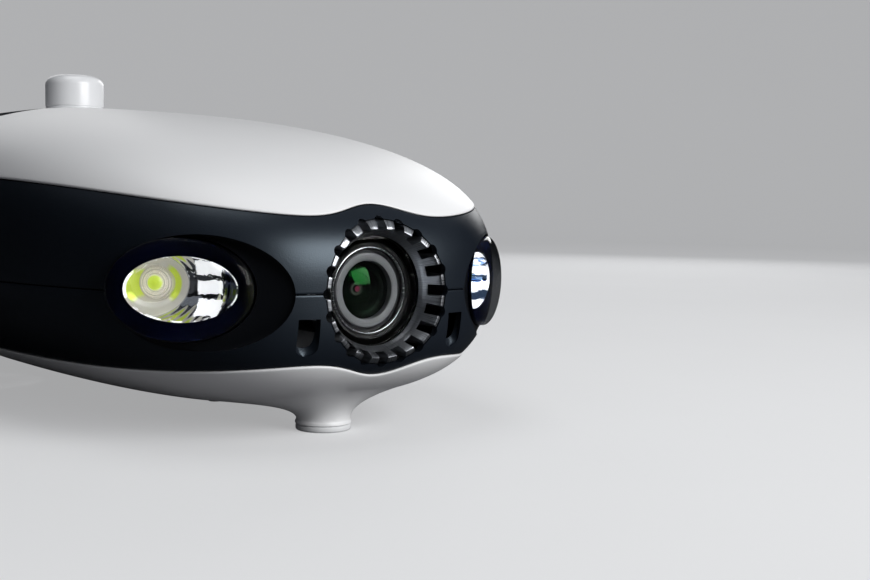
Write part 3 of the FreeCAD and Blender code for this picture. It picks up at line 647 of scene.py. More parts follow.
@dataclass(frozen=True)
class Drain:
    """Scoop-shaped slot beside the camera, in millimetres: straight top, round bottom, sloping floor."""

    x: float = 32.2
    low: float = 34.2
    half: float = 3.9
    corner: float = 3.4
    tall: float = 13.2
    slope: float = 0.75
    slope_power: float = 1.15
    shallowest: float = 0.9
    ahead: float = 4.0

    def cutter(self, hull: HullForm, side: Side, inset: float) -> Solid:
        """Cutter from ahead of the skin to the slot's floor.

        At height h over the bottom the half width is that of a quarter ellipse up to the corner, and
        the floor lies slope h^slope_power + shallowest behind the skin, less towards the sides.
        """
        foot = self.corner * (1 - np.cos(np.linspace(0.2, QUARTER, 7)))
        rise = np.concatenate([[0.0], foot, [7.0, 10.0, self.tall]])
        across = np.linspace(-1, 1, 13)
        bend = 1 - np.minimum(rise, self.corner) / self.corner
        half = self.half * np.sqrt(np.clip(1 - bend ** 2, 0.0, 1.0))
        x = side.value * self.x + np.outer(half, across)
        z = (self.low + rise)[:, None]
        middle = self.slope * rise ** self.slope_power + self.shallowest
        depth = np.outer(middle, 1 - 0.8 * np.abs(across) ** 2.5)
        skin = hull.meet(xyz(x, -150.0, z) * MM, NOSEWARD, 0.06, inset)[..., 1]
        back = xyz(x * MM, skin + depth * MM, z * MM)
        front = xyz(x * MM, skin - self.ahead * MM, z * MM)
        rows = np.concatenate([front, back[:, ::-1]], 1)
        lid, floor = (row.mean(1, keepdims=True) + 0 * row for row in (rows[-1:], rows[:1]))
        return mesh_piece("drain", np.concatenate([floor, rows, lid]))


@dataclass(frozen=True)
class Fairing:
    """Boss round the tether cap with a teardrop hump behind it."""

    y: float
    hump_y: float = 0.117
    hump_half: float = 0.027
    hump_long: float = 0.044
    hump_base: float = 0.104
    hump_rise: float = 0.033
    boss_top: float = 0.1328
    bore: float = 16.4
    shoulder: float = 17.2
    edge: float = 18.0
    slope: float = 9.0
    reach_fore: float = 34.0
    reach_more_aft: float = 36.0
    blend: float = 1.3 * MM

    def build(self, hull: HullForm) -> Solid:
        """Makes the fairing as rings from the bore out to the deck.

        Heights are a smooth maximum, k log(sum of exp(z / k)), of the hull skin, an ellipsoid behind
        the cap and a boss that falls to the skin over a few millimetres.
        """
        turns, k = 192, self.blend
        reach = self.reach_fore + self.reach_more_aft * np.clip(np.sin(circle(turns)), 0, 1) ** 2

        def surface(r: Array | float) -> Array:
            """Height of the fairing at radii r (mm)."""
            flat = level_ring(0.0, self.y, r, 0.08, turns)
            skin = hull.meet(flat, np.array([0.0, 0.0, 1.0]), 0.06)[:, 2]
            u, v = flat[:, 0] / self.hump_half, (flat[:, 1] - self.hump_y) / self.hump_long
            inside = 1 - u * u - v * v
            hump = self.hump_base + self.hump_rise * np.sign(inside) * np.sqrt(np.abs(inside))
            fall = np.clip((r - self.edge) / self.slope, 0, 1)
            boss = self.boss_top - (self.boss_top - skin + 0.006) * (fall * fall * (3 - 2 * fall))
            return k * np.log(np.exp((hump - skin) / k) + np.exp((boss - skin) / k) + 1) + skin

        first = surface(self.shoulder)
        lines = [(self.bore, 0.124), (self.bore, first - 0.0008), (self.bore + 0.15, first - 0.0003),
                 (self.bore + 0.5, first - 0.00005)]
        for t in np.linspace(0.0, 1.0, 44):
            r = self.shoulder + (reach - self.shoulder) * t ** 1.15
            lines.append((r, surface(r) - 0.00008 * t))
        rows = [level_ring(0.0, self.y, r, z, turns) for r, z in lines]
        return mesh_piece("deck_fairing", np.stack(rows), sharp=50.0)


@dataclass
class Housings:
    """White shells and the black belt between them."""

    hull: HullForm
    shell_wall: float = 2.6 * MM
    belt_inset: float = 0.6 * MM
    belt_wall: float = 2.8 * MM
    gap: float = 0.3 * MM
    lip: float = 1.1 * MM
    duct_x: float = 68.0
    duct_y: tuple[float, float] = (47.0, 111.0)
    duct_r: float = 27.8
    tether_y: float = 103.0

    @property
    def angle(self) -> Array:
        """Plan angles of the columns, which crowd towards the nose: t - 0.45 sin(t) from it."""
        t = np.linspace(-math.pi, math.pi, 480, endpoint=False)
        return -QUARTER + t - 0.45 * np.sin(t)

    def wrapped(self, name: str, lines: list[tuple[Array | float, float]], closed: bool) -> Solid:
        """Skin whose rows are lines of height and inset round the hull."""
        angle = self.angle
        return mesh_piece(name, np.stack([self.hull.point(angle, h, inset) for h, inset in lines]), closed)

    def half_shell(self, name: str, edge: BeltEdge, sign: float, rows: int) -> Solid:
        """A white shell: outer skin from the pole to its rounded lip, and the inner skin back.

        Args:
            name: object name.
            edge: the belt edge it ends at.
            sign: 1 for the upper shell, -1 for the lower.
            rows: rows of points on each skin.

        Returns:
            The closed shell.
        """
        full = self.hull.crown if sign > 0 else self.hull.keel
        base = edge.on_hull(self.hull, self.angle, 0.0, sign * self.gap)
        crowd, turn_in = 2.2, 0.3 * MM
        lines = []
        for t in 1 - (1 - np.linspace(1, 0, rows)) ** crowd:
            lines.append((base + sign * self.lip + (sign * full - base - sign * self.lip) * t, 0.0))
        for a in np.linspace(0, QUARTER, 7)[1:]:
            lines.append((base + sign * self.lip * (1 - math.sin(a)), self.lip * (1 - math.cos(a))))
        lines += [(base, self.shell_wall - turn_in), (base + sign * turn_in, self.shell_wall)]
        for t in 1 - (1 - np.linspace(0, 1, rows // 2)[1:]) ** crowd:
            top = sign * (full - self.shell_wall)
            lines.append((base + sign * turn_in + (top - base - sign * turn_in) * t, self.shell_wall))
        return self.wrapped(name, lines, False)

    def half_belt(self, name: str, edge: BeltEdge, sign: float) -> Solid:
        """Half of the belt, from the rounded seam to its edge under the shell, as a closed band."""
        out, inn = self.belt_inset, self.belt_inset + self.belt_wall
        edge_h = edge.on_hull(self.hull, self.angle, out, 0.0)
        seam = sign * self.gap / 2
        lines = [(seam, out + 0.0005), (seam + sign * 0.00015, out + 0.00012), (seam + sign * 0.0005, out)]
        lines += [(seam + (edge_h - seam) * t, out) for t in np.linspace(0.03, 1.0, 26)]
        lines.append((edge_h, inn))
        lines += [(seam + (edge_h - seam) * t, inn) for t in np.linspace(0.9, 0.0, 8)]
        return self.wrapped(name, lines, True)

    def bores(self) -> list[Solid]:
        """Cutting cylinders for the four vertical ducts."""
        return [lathe("bore", rod(self.duct_r, 0, 240), axis_place((side.value * self.duct_x, y, -40.0)),
                      128, False) for side in Side for y in self.duct_y]

    @staticmethod
    def bezel_hole() -> Solid:
        """Prism for the scalloped hole: outline radius is the larger of a circle and small arcs on it."""
        hole_r, ring_r, scallop_r = 26.5, 25.45, 2.15
        turn, pitch = circle(720), 2 * math.pi / 20
        off = np.abs((turn + pitch / 2) % pitch - pitch / 2)
        inside = scallop_r ** 2 - (ring_r * np.sin(off)) ** 2
        arc = np.where(inside > 0, ring_r * np.cos(off) + np.sqrt(np.maximum(inside, 0)), 0)
        r = np.maximum(hole_r, arc) * MM
        ends = ((0.0, -0.215), (1.0, -0.215), (1.0, -0.150), (0.0, -0.150))
        rows = [xyz(r * np.cos(turn) * scale, y, r * np.sin(turn) * scale + SEAM_Z) for scale, y in ends]
        return mesh_piece("bezel_hole", np.stack(rows))

    def build(self, lamps: list[Lamp]) -> dict[str, Solid]:
        """Makes the four housings, by the node each stands for, and cuts their openings."""
        top = self.half_shell("top_shell_skin", UPPER_EDGE, 1.0, 90)
        well = lathe("cap_well", rod(16.4, 0, 60), axis_place((0, self.tether_y, 110.0)), 96, False)
        carve(top, self.bores() + [well])
        bottom = self.half_shell("bottom_shell_skin", LOWER_EDGE, -1.0, 70)
        carve(bottom, self.bores())
        upper = self.half_belt("belt_upper_skin", UPPER_EDGE, 1.0)
        lower = self.half_belt("belt_lower_skin", LOWER_EDGE, -1.0)
        for belt, drained in ((upper, ()), (lower, Side)):
            drains = [Drain().cutter(self.hull, side, self.belt_inset) for side in drained]
            sockets = [lamp.socket_cutter(self.hull, self.belt_inset) for lamp in lamps]
            carve(belt, [self.bezel_hole()] + drains + sockets)
        return {"top_shell": top, "bottom_shell": bottom, "belt_upper": upper, "belt_lower": lower}


@dataclass
class Feet:
    """Three trumpet feet that flow out of the lower shell, with soft pads."""

    hull: HullForm
    places: tuple[tuple[float, float], ...] = ((0.0, -147.3), (34.0, 153.0), (-34.0, 153.0))
    neck: float = 10.6
    lip: float = 11.0
    pad: float = 2.4

    def foot(self, index: int) -> Solid:
        """One foot: a lip, a short neck and a fillet whose outer ring lies on the hull.

        Along each direction the fillet is a quarter ellipse: radius neck + width (1 - cos a), height
        from the neck to the skin straight above by sin a. It is wider towards the middle of the hull.
        """
        x, y = self.places[index]
        turns = 128
        width = 25.0 - 12.0 * math.copysign(1.0, y) * np.sin(circle(turns))
        pad, lip = self.pad, self.lip
        lines = [(r, z * MM) for r, z in ((0.0, pad), (lip - 0.4, pad), (lip, pad + 0.3), (lip, pad + 1.0),
                                          (lip - 0.3, pad + 1.5))]
        start = (pad + 1.9) * MM
        for t in np.linspace(0.0, 1.0, 26):
            r = self.neck + width * (1 - math.cos(t * QUARTER))
            skin = self.hull.meet(level_ring(x, y, r, 0.045, turns), np.array([0.0, 0.0, -1.0]), 0.05)
            lines.append((r, start + (skin[:, 2] + 0.00004 - start) * math.sin(t * QUARTER)))
        rows = [level_ring(x, y, r, z, turns) for r, z in lines]
        return mesh_piece(f"foot_{index + 1}", np.stack(rows), sharp=50.0)

    def pads(self) -> Solid:
        """Round pads under the feet."""
        profile = rounded(rod(self.lip - 0.2, 0, self.pad), 0.8)
        pads = [lathe("pad", profile, axis_place((x, y, 0)), 64, False) for x, y in self.places]
        return joined("pads", pads)


@dataclass
class Camera:
    """Nose camera: notched bezel, flat port glass, trim ring, baffle and coated lens."""

    hull: HullForm
    glass_y: float = -181.0
    notches: int = 20
    notch_half: float = 2.0
    tooth_r: float = 26.2
    notch_r: float = 22.4
    throat_r: float = 20.6
    bore_r: float = 20.3
    back: float = 4.5
    front: float = -12.0

    @property
    def place(self) -> Matrix:
        """Local frame on the optical axis: local Z points into the hull, from the glass face."""
        return axis_place((0, self.glass_y, SEAM_Z / MM), (0, 1, 0))

    def bezel(self) -> Solid:
        """Funnel with square notches, its rim trimmed to the belt.

        Columns: each pitch holds a notch and a tooth, parted at the angle asin(half width / r), so
        the notch walls are parallel. Rows run from the bore, over the throat, up the funnel to the
        rim and down the outer wall. In a notch the rows drop straight back at the notch's root.
        """
        slot, tooth = np.linspace(-1, 1, 5), np.linspace(-1, 1, 9)
        in_slot = np.tile(np.arange(slot.size + tooth.size) < slot.size, self.notches)
        pitch = 2 * math.pi / self.notches
        back, floor = (self.glass_y + self.back) * MM, (self.glass_y + self.back - 0.1) * MM
        centre = np.array([0.0, self.glass_y * MM, SEAM_Z])

        def row(r: float, y: float, drop: float = 0.0) -> Array:
            """Row at radius r, y from the glass but not ahead of the belt, moved back by a drop (mm)."""
            edge = math.asin(self.notch_half / r)
            one = np.concatenate([slot * edge, pitch / 2 + tooth * (pitch / 2 - edge)])
            angle = (np.arange(self.notches)[:, None] * pitch + one[None, :]).ravel()
            p = xyz(r * np.cos(angle), 0.0, r * np.sin(angle)) * MM + centre
            skin = self.hull.meet(p + np.array([0, 0.012, 0]), NOSEWARD, 0.03, 0.0007)[:, 1]
            face = np.maximum(self.glass_y * MM + y * MM, skin) + drop * MM
            if r > self.notch_r:
                face = np.where(in_slot, floor, face)
            p[:, 1] = np.minimum(face, back)
            return p

        behind = 99.0
        rows = [row(self.bore_r, 3.0), row(self.bore_r, 0.25), row(self.bore_r + 0.15, -0.1)]
        for t in np.linspace(0.04, 1.0, 9):
            rows.append(row(self.throat_r + (self.tooth_r - 0.25 - self.throat_r) * t, self.front * t * 0.97))
        rows += [row(self.tooth_r, self.front, drop) for drop in (0.3, 1.2, behind)]
        rows.append(row(self.bore_r, self.back, behind))
        return bevelled(mesh_piece("bezel", np.stack(rows), True, 30.0), 0.00022, 38.0)

    def glass(self) -> Solid:
        """Flat port glass with a small polished chamfer."""
        return lathe("port_window", rounded(rod(20.2, 0, 3.0), 0.12), self.place, 128, False)

    def trim(self) -> Solid:
        """Thin bright ring behind the glass."""
        corners = [(15.5, 3.9), (15.75, 3.75), (16.0, 3.9), (16.0, 4.7), (15.5, 4.7)]
        return lathe("trim_hoop", rounded(corners, 0.08), self.place, 160)

    def well(self) -> Solid:
        """Blackened wall between the glass and the trim ring, with fine steps."""
        profile = [(20.1, 3.2), (20.1, 3.6)]
        for k in range(5):
            r = 19.6 - k * 0.7
            profile += [(r, 3.9 + 0.25 * k), (r - 0.35, 3.9 + 0.25 * k)]
        profile += [(16.5, 5.2), (16.5, 6.4), (20.1, 6.4)]
        return lathe("camera_well", profile, self.place, 128)

    def baffle(self) -> Solid:
        """Grey annulus with its dished collar and the lens cell behind."""
        profile = [(10.75, 22.0), (10.75, 5.6), (10.9, 5.2), (11.3, 5.0), (12.2, 4.95), (13.1, 5.0),
                   (13.5, 5.15), (13.7, 5.6), (14.0, 6.2), (14.9, 6.4), (15.4, 6.4), (15.4, 7.4),
                   (12.6, 7.4), (12.6, 22.0)]
        return lathe("camera_baffle", profile, self.place, 128)

    def lens(self) -> Solid:
        """Front element: a spherical cap over a cylinder edge."""
        rise, radius = 3.4, 10.5
        ball = (radius ** 2 + rise ** 2) / (2 * rise)
        cap = [(ball * math.sin(t), 4.0 + ball * (1 - math.cos(t)))
               for t in np.linspace(0, math.asin(radius / ball), 20)]
        rear = [(radius, 8.6), (8.6, 8.6), (7.0, 7.6), (0.0, 7.0)]
        return lathe("front_element", cap + rear, self.place, 128, False)

    def inner_elements(self) -> Solid:
        """Dark steps behind the front element, down to the iris."""
        profile = [(10.4, 8.8), (9.4, 9.0), (9.2, 10.0), (7.6, 10.3), (7.4, 11.3), (5.6, 11.6), (5.4, 12.4),
                   (3.6, 12.7), (3.2, 12.9), (0.0, 13.0), (0.0, 15.0), (10.4, 15.0)]
        return lathe("inner_elements", profile, self.place)

    def iris(self) -> Solid:
        """Small ringed element in front of the iris."""
        profile = [(0.0, 11.3), (0.9, 11.4), (1.25, 11.8), (1.55, 11.8), (1.7, 11.4), (2.0, 11.4),
                   (2.2, 12.0), (2.3, 12.9), (0.0, 12.9)]
        return lathe("iris_element", profile, self.place, 64, False, 25.0)


@dataclass
class Lamp:
    """An oval lamp: domed cover, navy surround, chrome bowl and a ringed light source in a cup."""

    side: Side
    x: float = 68.7
    y: float = -161.9
    z: float = 57.0
    angle: float = 40.0
    glass_a: float = 26.2
    glass_b: float = 18.3
    dome: float = 5.4
    skin: float = 0.3
    window_a: float = 19.7
    window_b: float = 11.6
    window_shift: float = 0.3
    offset: float = 11.0
    rise: float = 1.8
    optic_r: float = 5.6
    cup_r: float = 6.9
    seat: float = -3.4
    tip: float = 2.5
    bowl_deep: float = 9.4
    bowl_power: float = 2.4
    bowl_steps: float = 0.12
    foot: float = -17.5

    def place(self, dx: float = 0.0, up: float = 0.0) -> Matrix:
        """Local frame: X outboard, Z out along the beam, origin at the glass centre moved by dx and up."""
        a, s = math.radians(self.angle), self.side.value
        z = Vector((s * math.sin(a), -math.cos(a), 0))
        x = Vector((s * math.cos(a), math.sin(a), 0))
        rot = Matrix((x, z.cross(x), z)).transposed().to_4x4()
        at = Vector((s * self.x, self.y, self.z + up)) * MM + x * dx * MM
        return Matrix.Translation(at) @ rot

    def eye(self) -> Matrix:
        """Local frame on the axis of the light source."""
        return self.place(self.offset, self.rise)

    def world(self, local: Array) -> Array:
        """Local points in millimetres to the vehicle's frame in metres."""
        return moved(local * MM, self.place())

    def beam(self) -> Array:
        """Unit vector along the beam."""
        return np.array(self.place().to_3x3() @ Vector((0, 0, 1)))

    def tilt(self) -> Triple:
        """Euler angles of the local frame."""
        return tuple(self.place().to_euler())

    def piece(self, name: str, rows: list[Array], closed: bool, sharp: float = 40.0) -> Solid:
        """Piece of this lamp from local rows in millimetres."""
        return mesh_piece(f"{name}_{self.side.tag}", self.world(np.stack(rows)), closed, sharp)

    def mouth(self, hull: HullForm, inset: float, grow: float) -> Array:
        """Oval on the belt surface round the recess, longer towards the nose and a little low."""
        t, half_a, half_b, behind = circle(160), 33.8, 20.8, -16.0
        flat = xyz(-6.8 + (half_a + grow) * np.cos(t), -self.side.value + (half_b + grow) * np.sin(t), behind)
        return hull.meet(self.world(flat), self.beam(), 0.05, inset)

    def socket_cutter(self, hull: HullForm, inset: float) -> Solid:
        """Oval prism that opens the belt just inside the recess's rolled rim."""
        ring, step = self.mouth(hull, inset, -0.35), self.beam()
        mid = np.broadcast_to(ring.mean(0), ring.shape)
        ahead, behind = step * 0.02, step * 0.024
        return mesh_piece("socket_cutter", np.stack([mid + ahead, ring + ahead, ring - behind, mid - behind]))

    def recess(self, hull: HullForm, inset: float) -> Solid:
        """Dished wall from just under the belt down to the glass.

        Each of its lines is a cubic curve: it drops along the beam from the rim and runs in along a
        sunk floor to the glass edge.
        """
        rim, t = self.mouth(hull, inset + 0.0001, 0.5), circle(160)
        seat = self.world(xyz((self.glass_a + 0.35) * np.cos(t), (self.glass_b + 0.35) * np.sin(t), -2.2))
        step = self.beam()
        rise = np.maximum(((rim - seat) @ step)[:, None], 0.0)
        p1 = rim - (rim - seat) * 0.05 - step * rise * 0.9
        p2 = seat + (rim - seat) * 0.5 - step * rise * 0.75
        rows = [(1 - u) ** 3 * rim + 3 * u * (1 - u) ** 2 * p1 + 3 * u * u * (1 - u) * p2 + u ** 3 * seat
                for u in np.linspace(0, 1, 26)]
        rows.append(seat - step * 0.003)
        return mesh_piece("lamp_recess_" + self.side.tag, np.stack(rows), sharp=60.0)

    def glass(self) -> Solid:
        """Domed cover: a thin clear skin with a turned-down rim."""
        a, b = self.glass_a, self.glass_a - self.skin
        out = [(a * math.sin(t), self.dome * math.cos(t)) for t in np.linspace(0, QUARTER, 30)]
        rim = [(a, -1.5), (a, -3.0), (b, -3.0), (b, -1.5)]
        inner = [(b * math.sin(t), (self.dome - self.skin) * math.cos(t))
                 for t in np.linspace(QUARTER, 0, 30)]
        return lathe("lamp_dome_" + self.side.tag, out + rim + inner, self.place(), 160, False,
                     squeeze=self.glass_b / self.glass_a)

    def lean(self, x: Array) -> Array:
        """Height in mm of the window's plane at local x: it tips towards the outboard side."""
        return self.seat + self.tip * np.clip(x / self.window_a, -1.1, 1.1)

    def mask(self) -> Solid:
        """Glossy navy surround under the cover, with a chamfered window and a skirt.

        Its rows are at a part of the way in to the window, sunk by another part, less a drop in mm.
        """
        t, top = circle(160), -0.8
        a, b = self.glass_a - 0.34, self.glass_b - 0.34
        steps = [(0.0, 0.0, 5.2), (0.0, 0.0, 1.6)] + [(f, f ** 0.8, 0.0) for f in np.linspace(0, 1, 14)]
        steps += [(1.0, 1.0, 0.7), (0.9, 1.0, 1.2), (0.5, 0.9, 1.8), (0.08, 0.8, 2.6)]
        rows = []
        for f, sunk, drop in steps:
            x = (a * (1 - f) + self.window_a * f) * np.cos(t) + self.window_shift * f
            y = (b * (1 - f) + self.window_b * f) * np.sin(t)
            rows.append(xyz(x, y, top + sunk * (self.lean(x) - top) - drop))
        return self.piece("lamp_surround", rows, True)

    @property
    def bowl_half(self) -> tuple[float, float]:
        """Half axes of the bowl, which reaches a little under the surround."""
        return self.window_a + 0.2, self.window_b + 0.2

    def basin(self, x: Array, y: Array) -> Array:
        """Height in mm of the bowl at local x, y: a power curve of the oval radius with cross steps."""
        a, b = self.bowl_half
        t = np.sqrt(((x - self.window_shift) / a) ** 2 + (y / b) ** 2)
        steps = self.bowl_steps * np.sin(t * math.pi * 6.0) * np.clip(1 - t, 0, 1)
        return self.lean(x) - 0.2 - self.bowl_deep * (1 - np.clip(t, 0, 1) ** self.bowl_power) + steps

    def reflector(self) -> Solid:
        """Chrome bowl with shallow steps, opened round the light source."""
        t, (a, b), mid = circle(192), self.bowl_half, self.window_shift
        rows = []
        for back, parts in ((0.0, np.linspace(1.0, 0.0, 56)), (1.2, np.linspace(0, 1.0, 14))):
            for f in parts:
                inner = self.basin(mid + a * f * np.cos(t), b * f * np.sin(t)) - back * (1 - f)
                wide, high = a + back * f, b + back * f
                rows.append(xyz(mid + wide * f * np.cos(t), high * f * np.sin(t), inner))
        bowl = self.piece("lamp_bowl", rows, True, 60.0)
        carve(bowl, [lathe("bore", rod(self.cup_r, -30.0, 10.0), self.eye(), 128, False)], 50.0)
        return bowl

    def cup(self) -> Solid:
        """Well round the light source: its lip follows the bowl, its wall leans in to the source."""
        a, low = circle(128), -15.0

        def ring(r: float, z: Array | float) -> Array:
            """Points at radius r round the source and heights z, in the lamp's frame."""
            return xyz(self.offset + r * np.cos(a), self.side.value * self.rise + r * np.sin(a), z)

        rim = ring(self.cup_r, 0.0)
        lip = self.basin(rim[:, 0], rim[:, 1])
        rows = [ring(self.cup_r + 0.25, lip - 1.0), ring(self.cup_r + 0.25, lip + 0.08),
                ring(self.cup_r - 0.05, lip + 0.02)]
        rows += [ring(self.cup_r - 0.05 - 1.1 * u ** 2, lip - 0.2 + (low - lip) * u)
                 for u in np.linspace(0.0, 1.0, 14)]
        rows.append(ring(self.cup_r + 0.25, low - 1.0))
        return self.piece("lamp_cup", rows, True)

    def source(self) -> Solid:
        """Round source: a pedestal carrying concentric clear rings and a centre lens."""
        r = self.optic_r
        profile = [(r + 0.5, self.foot), (r + 0.5, -11.8)]
        profile += [(r + 0.2 - (r - 2.6) * t, -11.0 + 0.9 * t + 0.28 * math.cos(t * 8 * math.pi))
                    for t in np.linspace(0.0, 1.0, 33)[:-1]]
        profile += [(2.8, -10.1), (2.5, -9.6), (1.9, -9.2), (1.0, -8.95), (0.0, -8.85)]
        profile.append((0.0, self.foot))
        return lathe("lamp_eye_" + self.side.tag, profile, self.eye(), 128, False, 60.0)


@dataclass
class TetherCap:
    """Screw cap on the deck."""

    y: float
    r: float = 15.4
    low: float = 133.3
    high: float = 154.0

    def build(self) -> Solid:
        """Cap with a rounded top edge, a shallow finger groove and a hollow inside."""
        r, h, low, corner_r, corner_h = self.r, self.high, self.low, 6.6, 5.4
        profile = [(r - 0.5, low), (r, low + 0.5), (r, low + 3.0), (r - 0.35, low + 3.3),
                   (r - 0.35, low + 3.9), (r, low + 4.2)]
        profile += [(r - corner_r * (1 - math.cos(t)), h - corner_h * (1 - math.sin(t)))
                    for t in np.linspace(0, QUARTER, 14)]
        profile += [(0.0, h), (0.0, 145.6), (13.0, 145.6), (13.0, low)]
        return lathe("screw_cap", profile, axis_place((0, self.y, 0)), 128)


# ------------------------------------------------------------------------------ studio
@dataclass(frozen=True)
class Viewpoint:
    """Camera position, aim, roll in degrees and lens in millimetres."""

    at: Triple = (-0.26152, -0.55394, 0.08777)
    aim: Triple = (0.017813, -0.194094, 0.056622)
    roll: float = 0.913
    lens: float = 51.571

    def build(self) -> None:
        """Adds the camera and makes it the scene's."""
        data = bpy.data.cameras.new("view")
        data.lens, data.sensor_width, data.clip_start = self.lens, 36.0, 0.02
        obj = linked("view", data)
        obj.matrix_world = aimed(self.at, self.aim) @ Matrix.Rotation(math.radians(self.roll), 4, "Z")
        bpy.context.scene.camera = obj


@dataclass(frozen=True)
class Softbox:
    """One rectangular studio lamp."""

    name: str
    at: Triple
    aim: Triple
    size: tuple[float, float]
    watts: float

    def build(self) -> None:
        """Adds the lamp to the scene."""
        data = bpy.data.lights.new(self.name, "AREA")
        data.shape, data.size, data.size_y = "RECTANGLE", self.size[0], self.size[1]
        data.energy = self.watts
        linked(self.name, data).matrix_world = aimed(self.at, self.aim)


@dataclass
class Studio:
    """Pale floor, curved backdrop, soft lamps and world."""

    wash: Triple = (0.37, 0.372, 0.377)
    bounce: Triple = (0.24, 0.24, 0.25)
    mirror: Triple = (0.03, 0.032, 0.036)
    reach: float = 2.6
    bend: float = 1.2
    boxes: tuple[Softbox, ...] = (
        Softbox("key", (0.38, -1.30, 0.60), (0.0, -0.12, 0.07), (0.95, 0.75), 19.0),
        Softbox("above", (-0.15, 0.1, 1.7), (0, 0, 0.1), (1.2, 0.9), 6.6),
        Softbox("aft", (0.3, 1.6, 0.8), (0.0, 0.1, 0.06), (0.8, 0.6), 1.8),
        Softbox("rim", (1.3, 0.8, 0.7), (0, 0, 0.08), (0.6, 0.8), 4.0),
    )

    def sweep(self) -> Solid:
        """Floor that curves up into a backdrop all round: z = 0 inside a circle, then a quarter round."""
        profile = [(0.0, 0.0), (self.reach * 0.5, 0.0), (self.reach, 0.0)]
        profile += [(self.reach + self.bend * math.sin(t), self.bend * (1 - math.cos(t)))
                    for t in np.linspace(0.1, QUARTER, 14)]
        profile.append((self.reach + self.bend, 2.6))
        return mesh_piece("floor_sweep", turned(np.array(profile), 96), sharp=60.0)

    def paper(self, fx: Effects) -> Material:
        """Floor finish: pale where the camera sees it, darker in the light that it sends back."""
        s = Sheet("studio_floor")
        drift = s.group(fx.drift, Vector=s.place, Scale=3.0, Low=(0.40, 0.405, 0.41),
                        High=(0.44, 0.445, 0.45))
        path = s.add("LightPath").outputs
        colour = s.mix(path["Is Camera Ray"], self.bounce, drift.outputs["Color"])
        colour = s.mix(path["Is Glossy Ray"], colour, self.mirror)
        seen = s.mix(path["Is Camera Ray"], (0.0, 0.0, 0.0), self.wash)
        return s.finish(Base_Color=colour, Roughness=0.85, Specular_IOR_Level=0.2, Emission_Color=seen,
                        Emission_Strength=1.0)

    def build(self, fx: Effects) -> None:
        """Adds floor, world and lamps, and sets the view transform."""
        floor = self.sweep()
        floor.data.materials.append(self.paper(fx))
        world = bpy.data.worlds.new("studio")
        world.use_nodes = True
        sky = world.node_tree.nodes["Background"].inputs
        sky["Color"].default_value, sky["Strength"].default_value = (0.85, 0.90, 1.0, 1.0), 0.14
        bpy.context.scene.world = world
        for box in self.boxes:
            box.build()
        bpy.context.scene.view_settings.view_transform = "Standard"


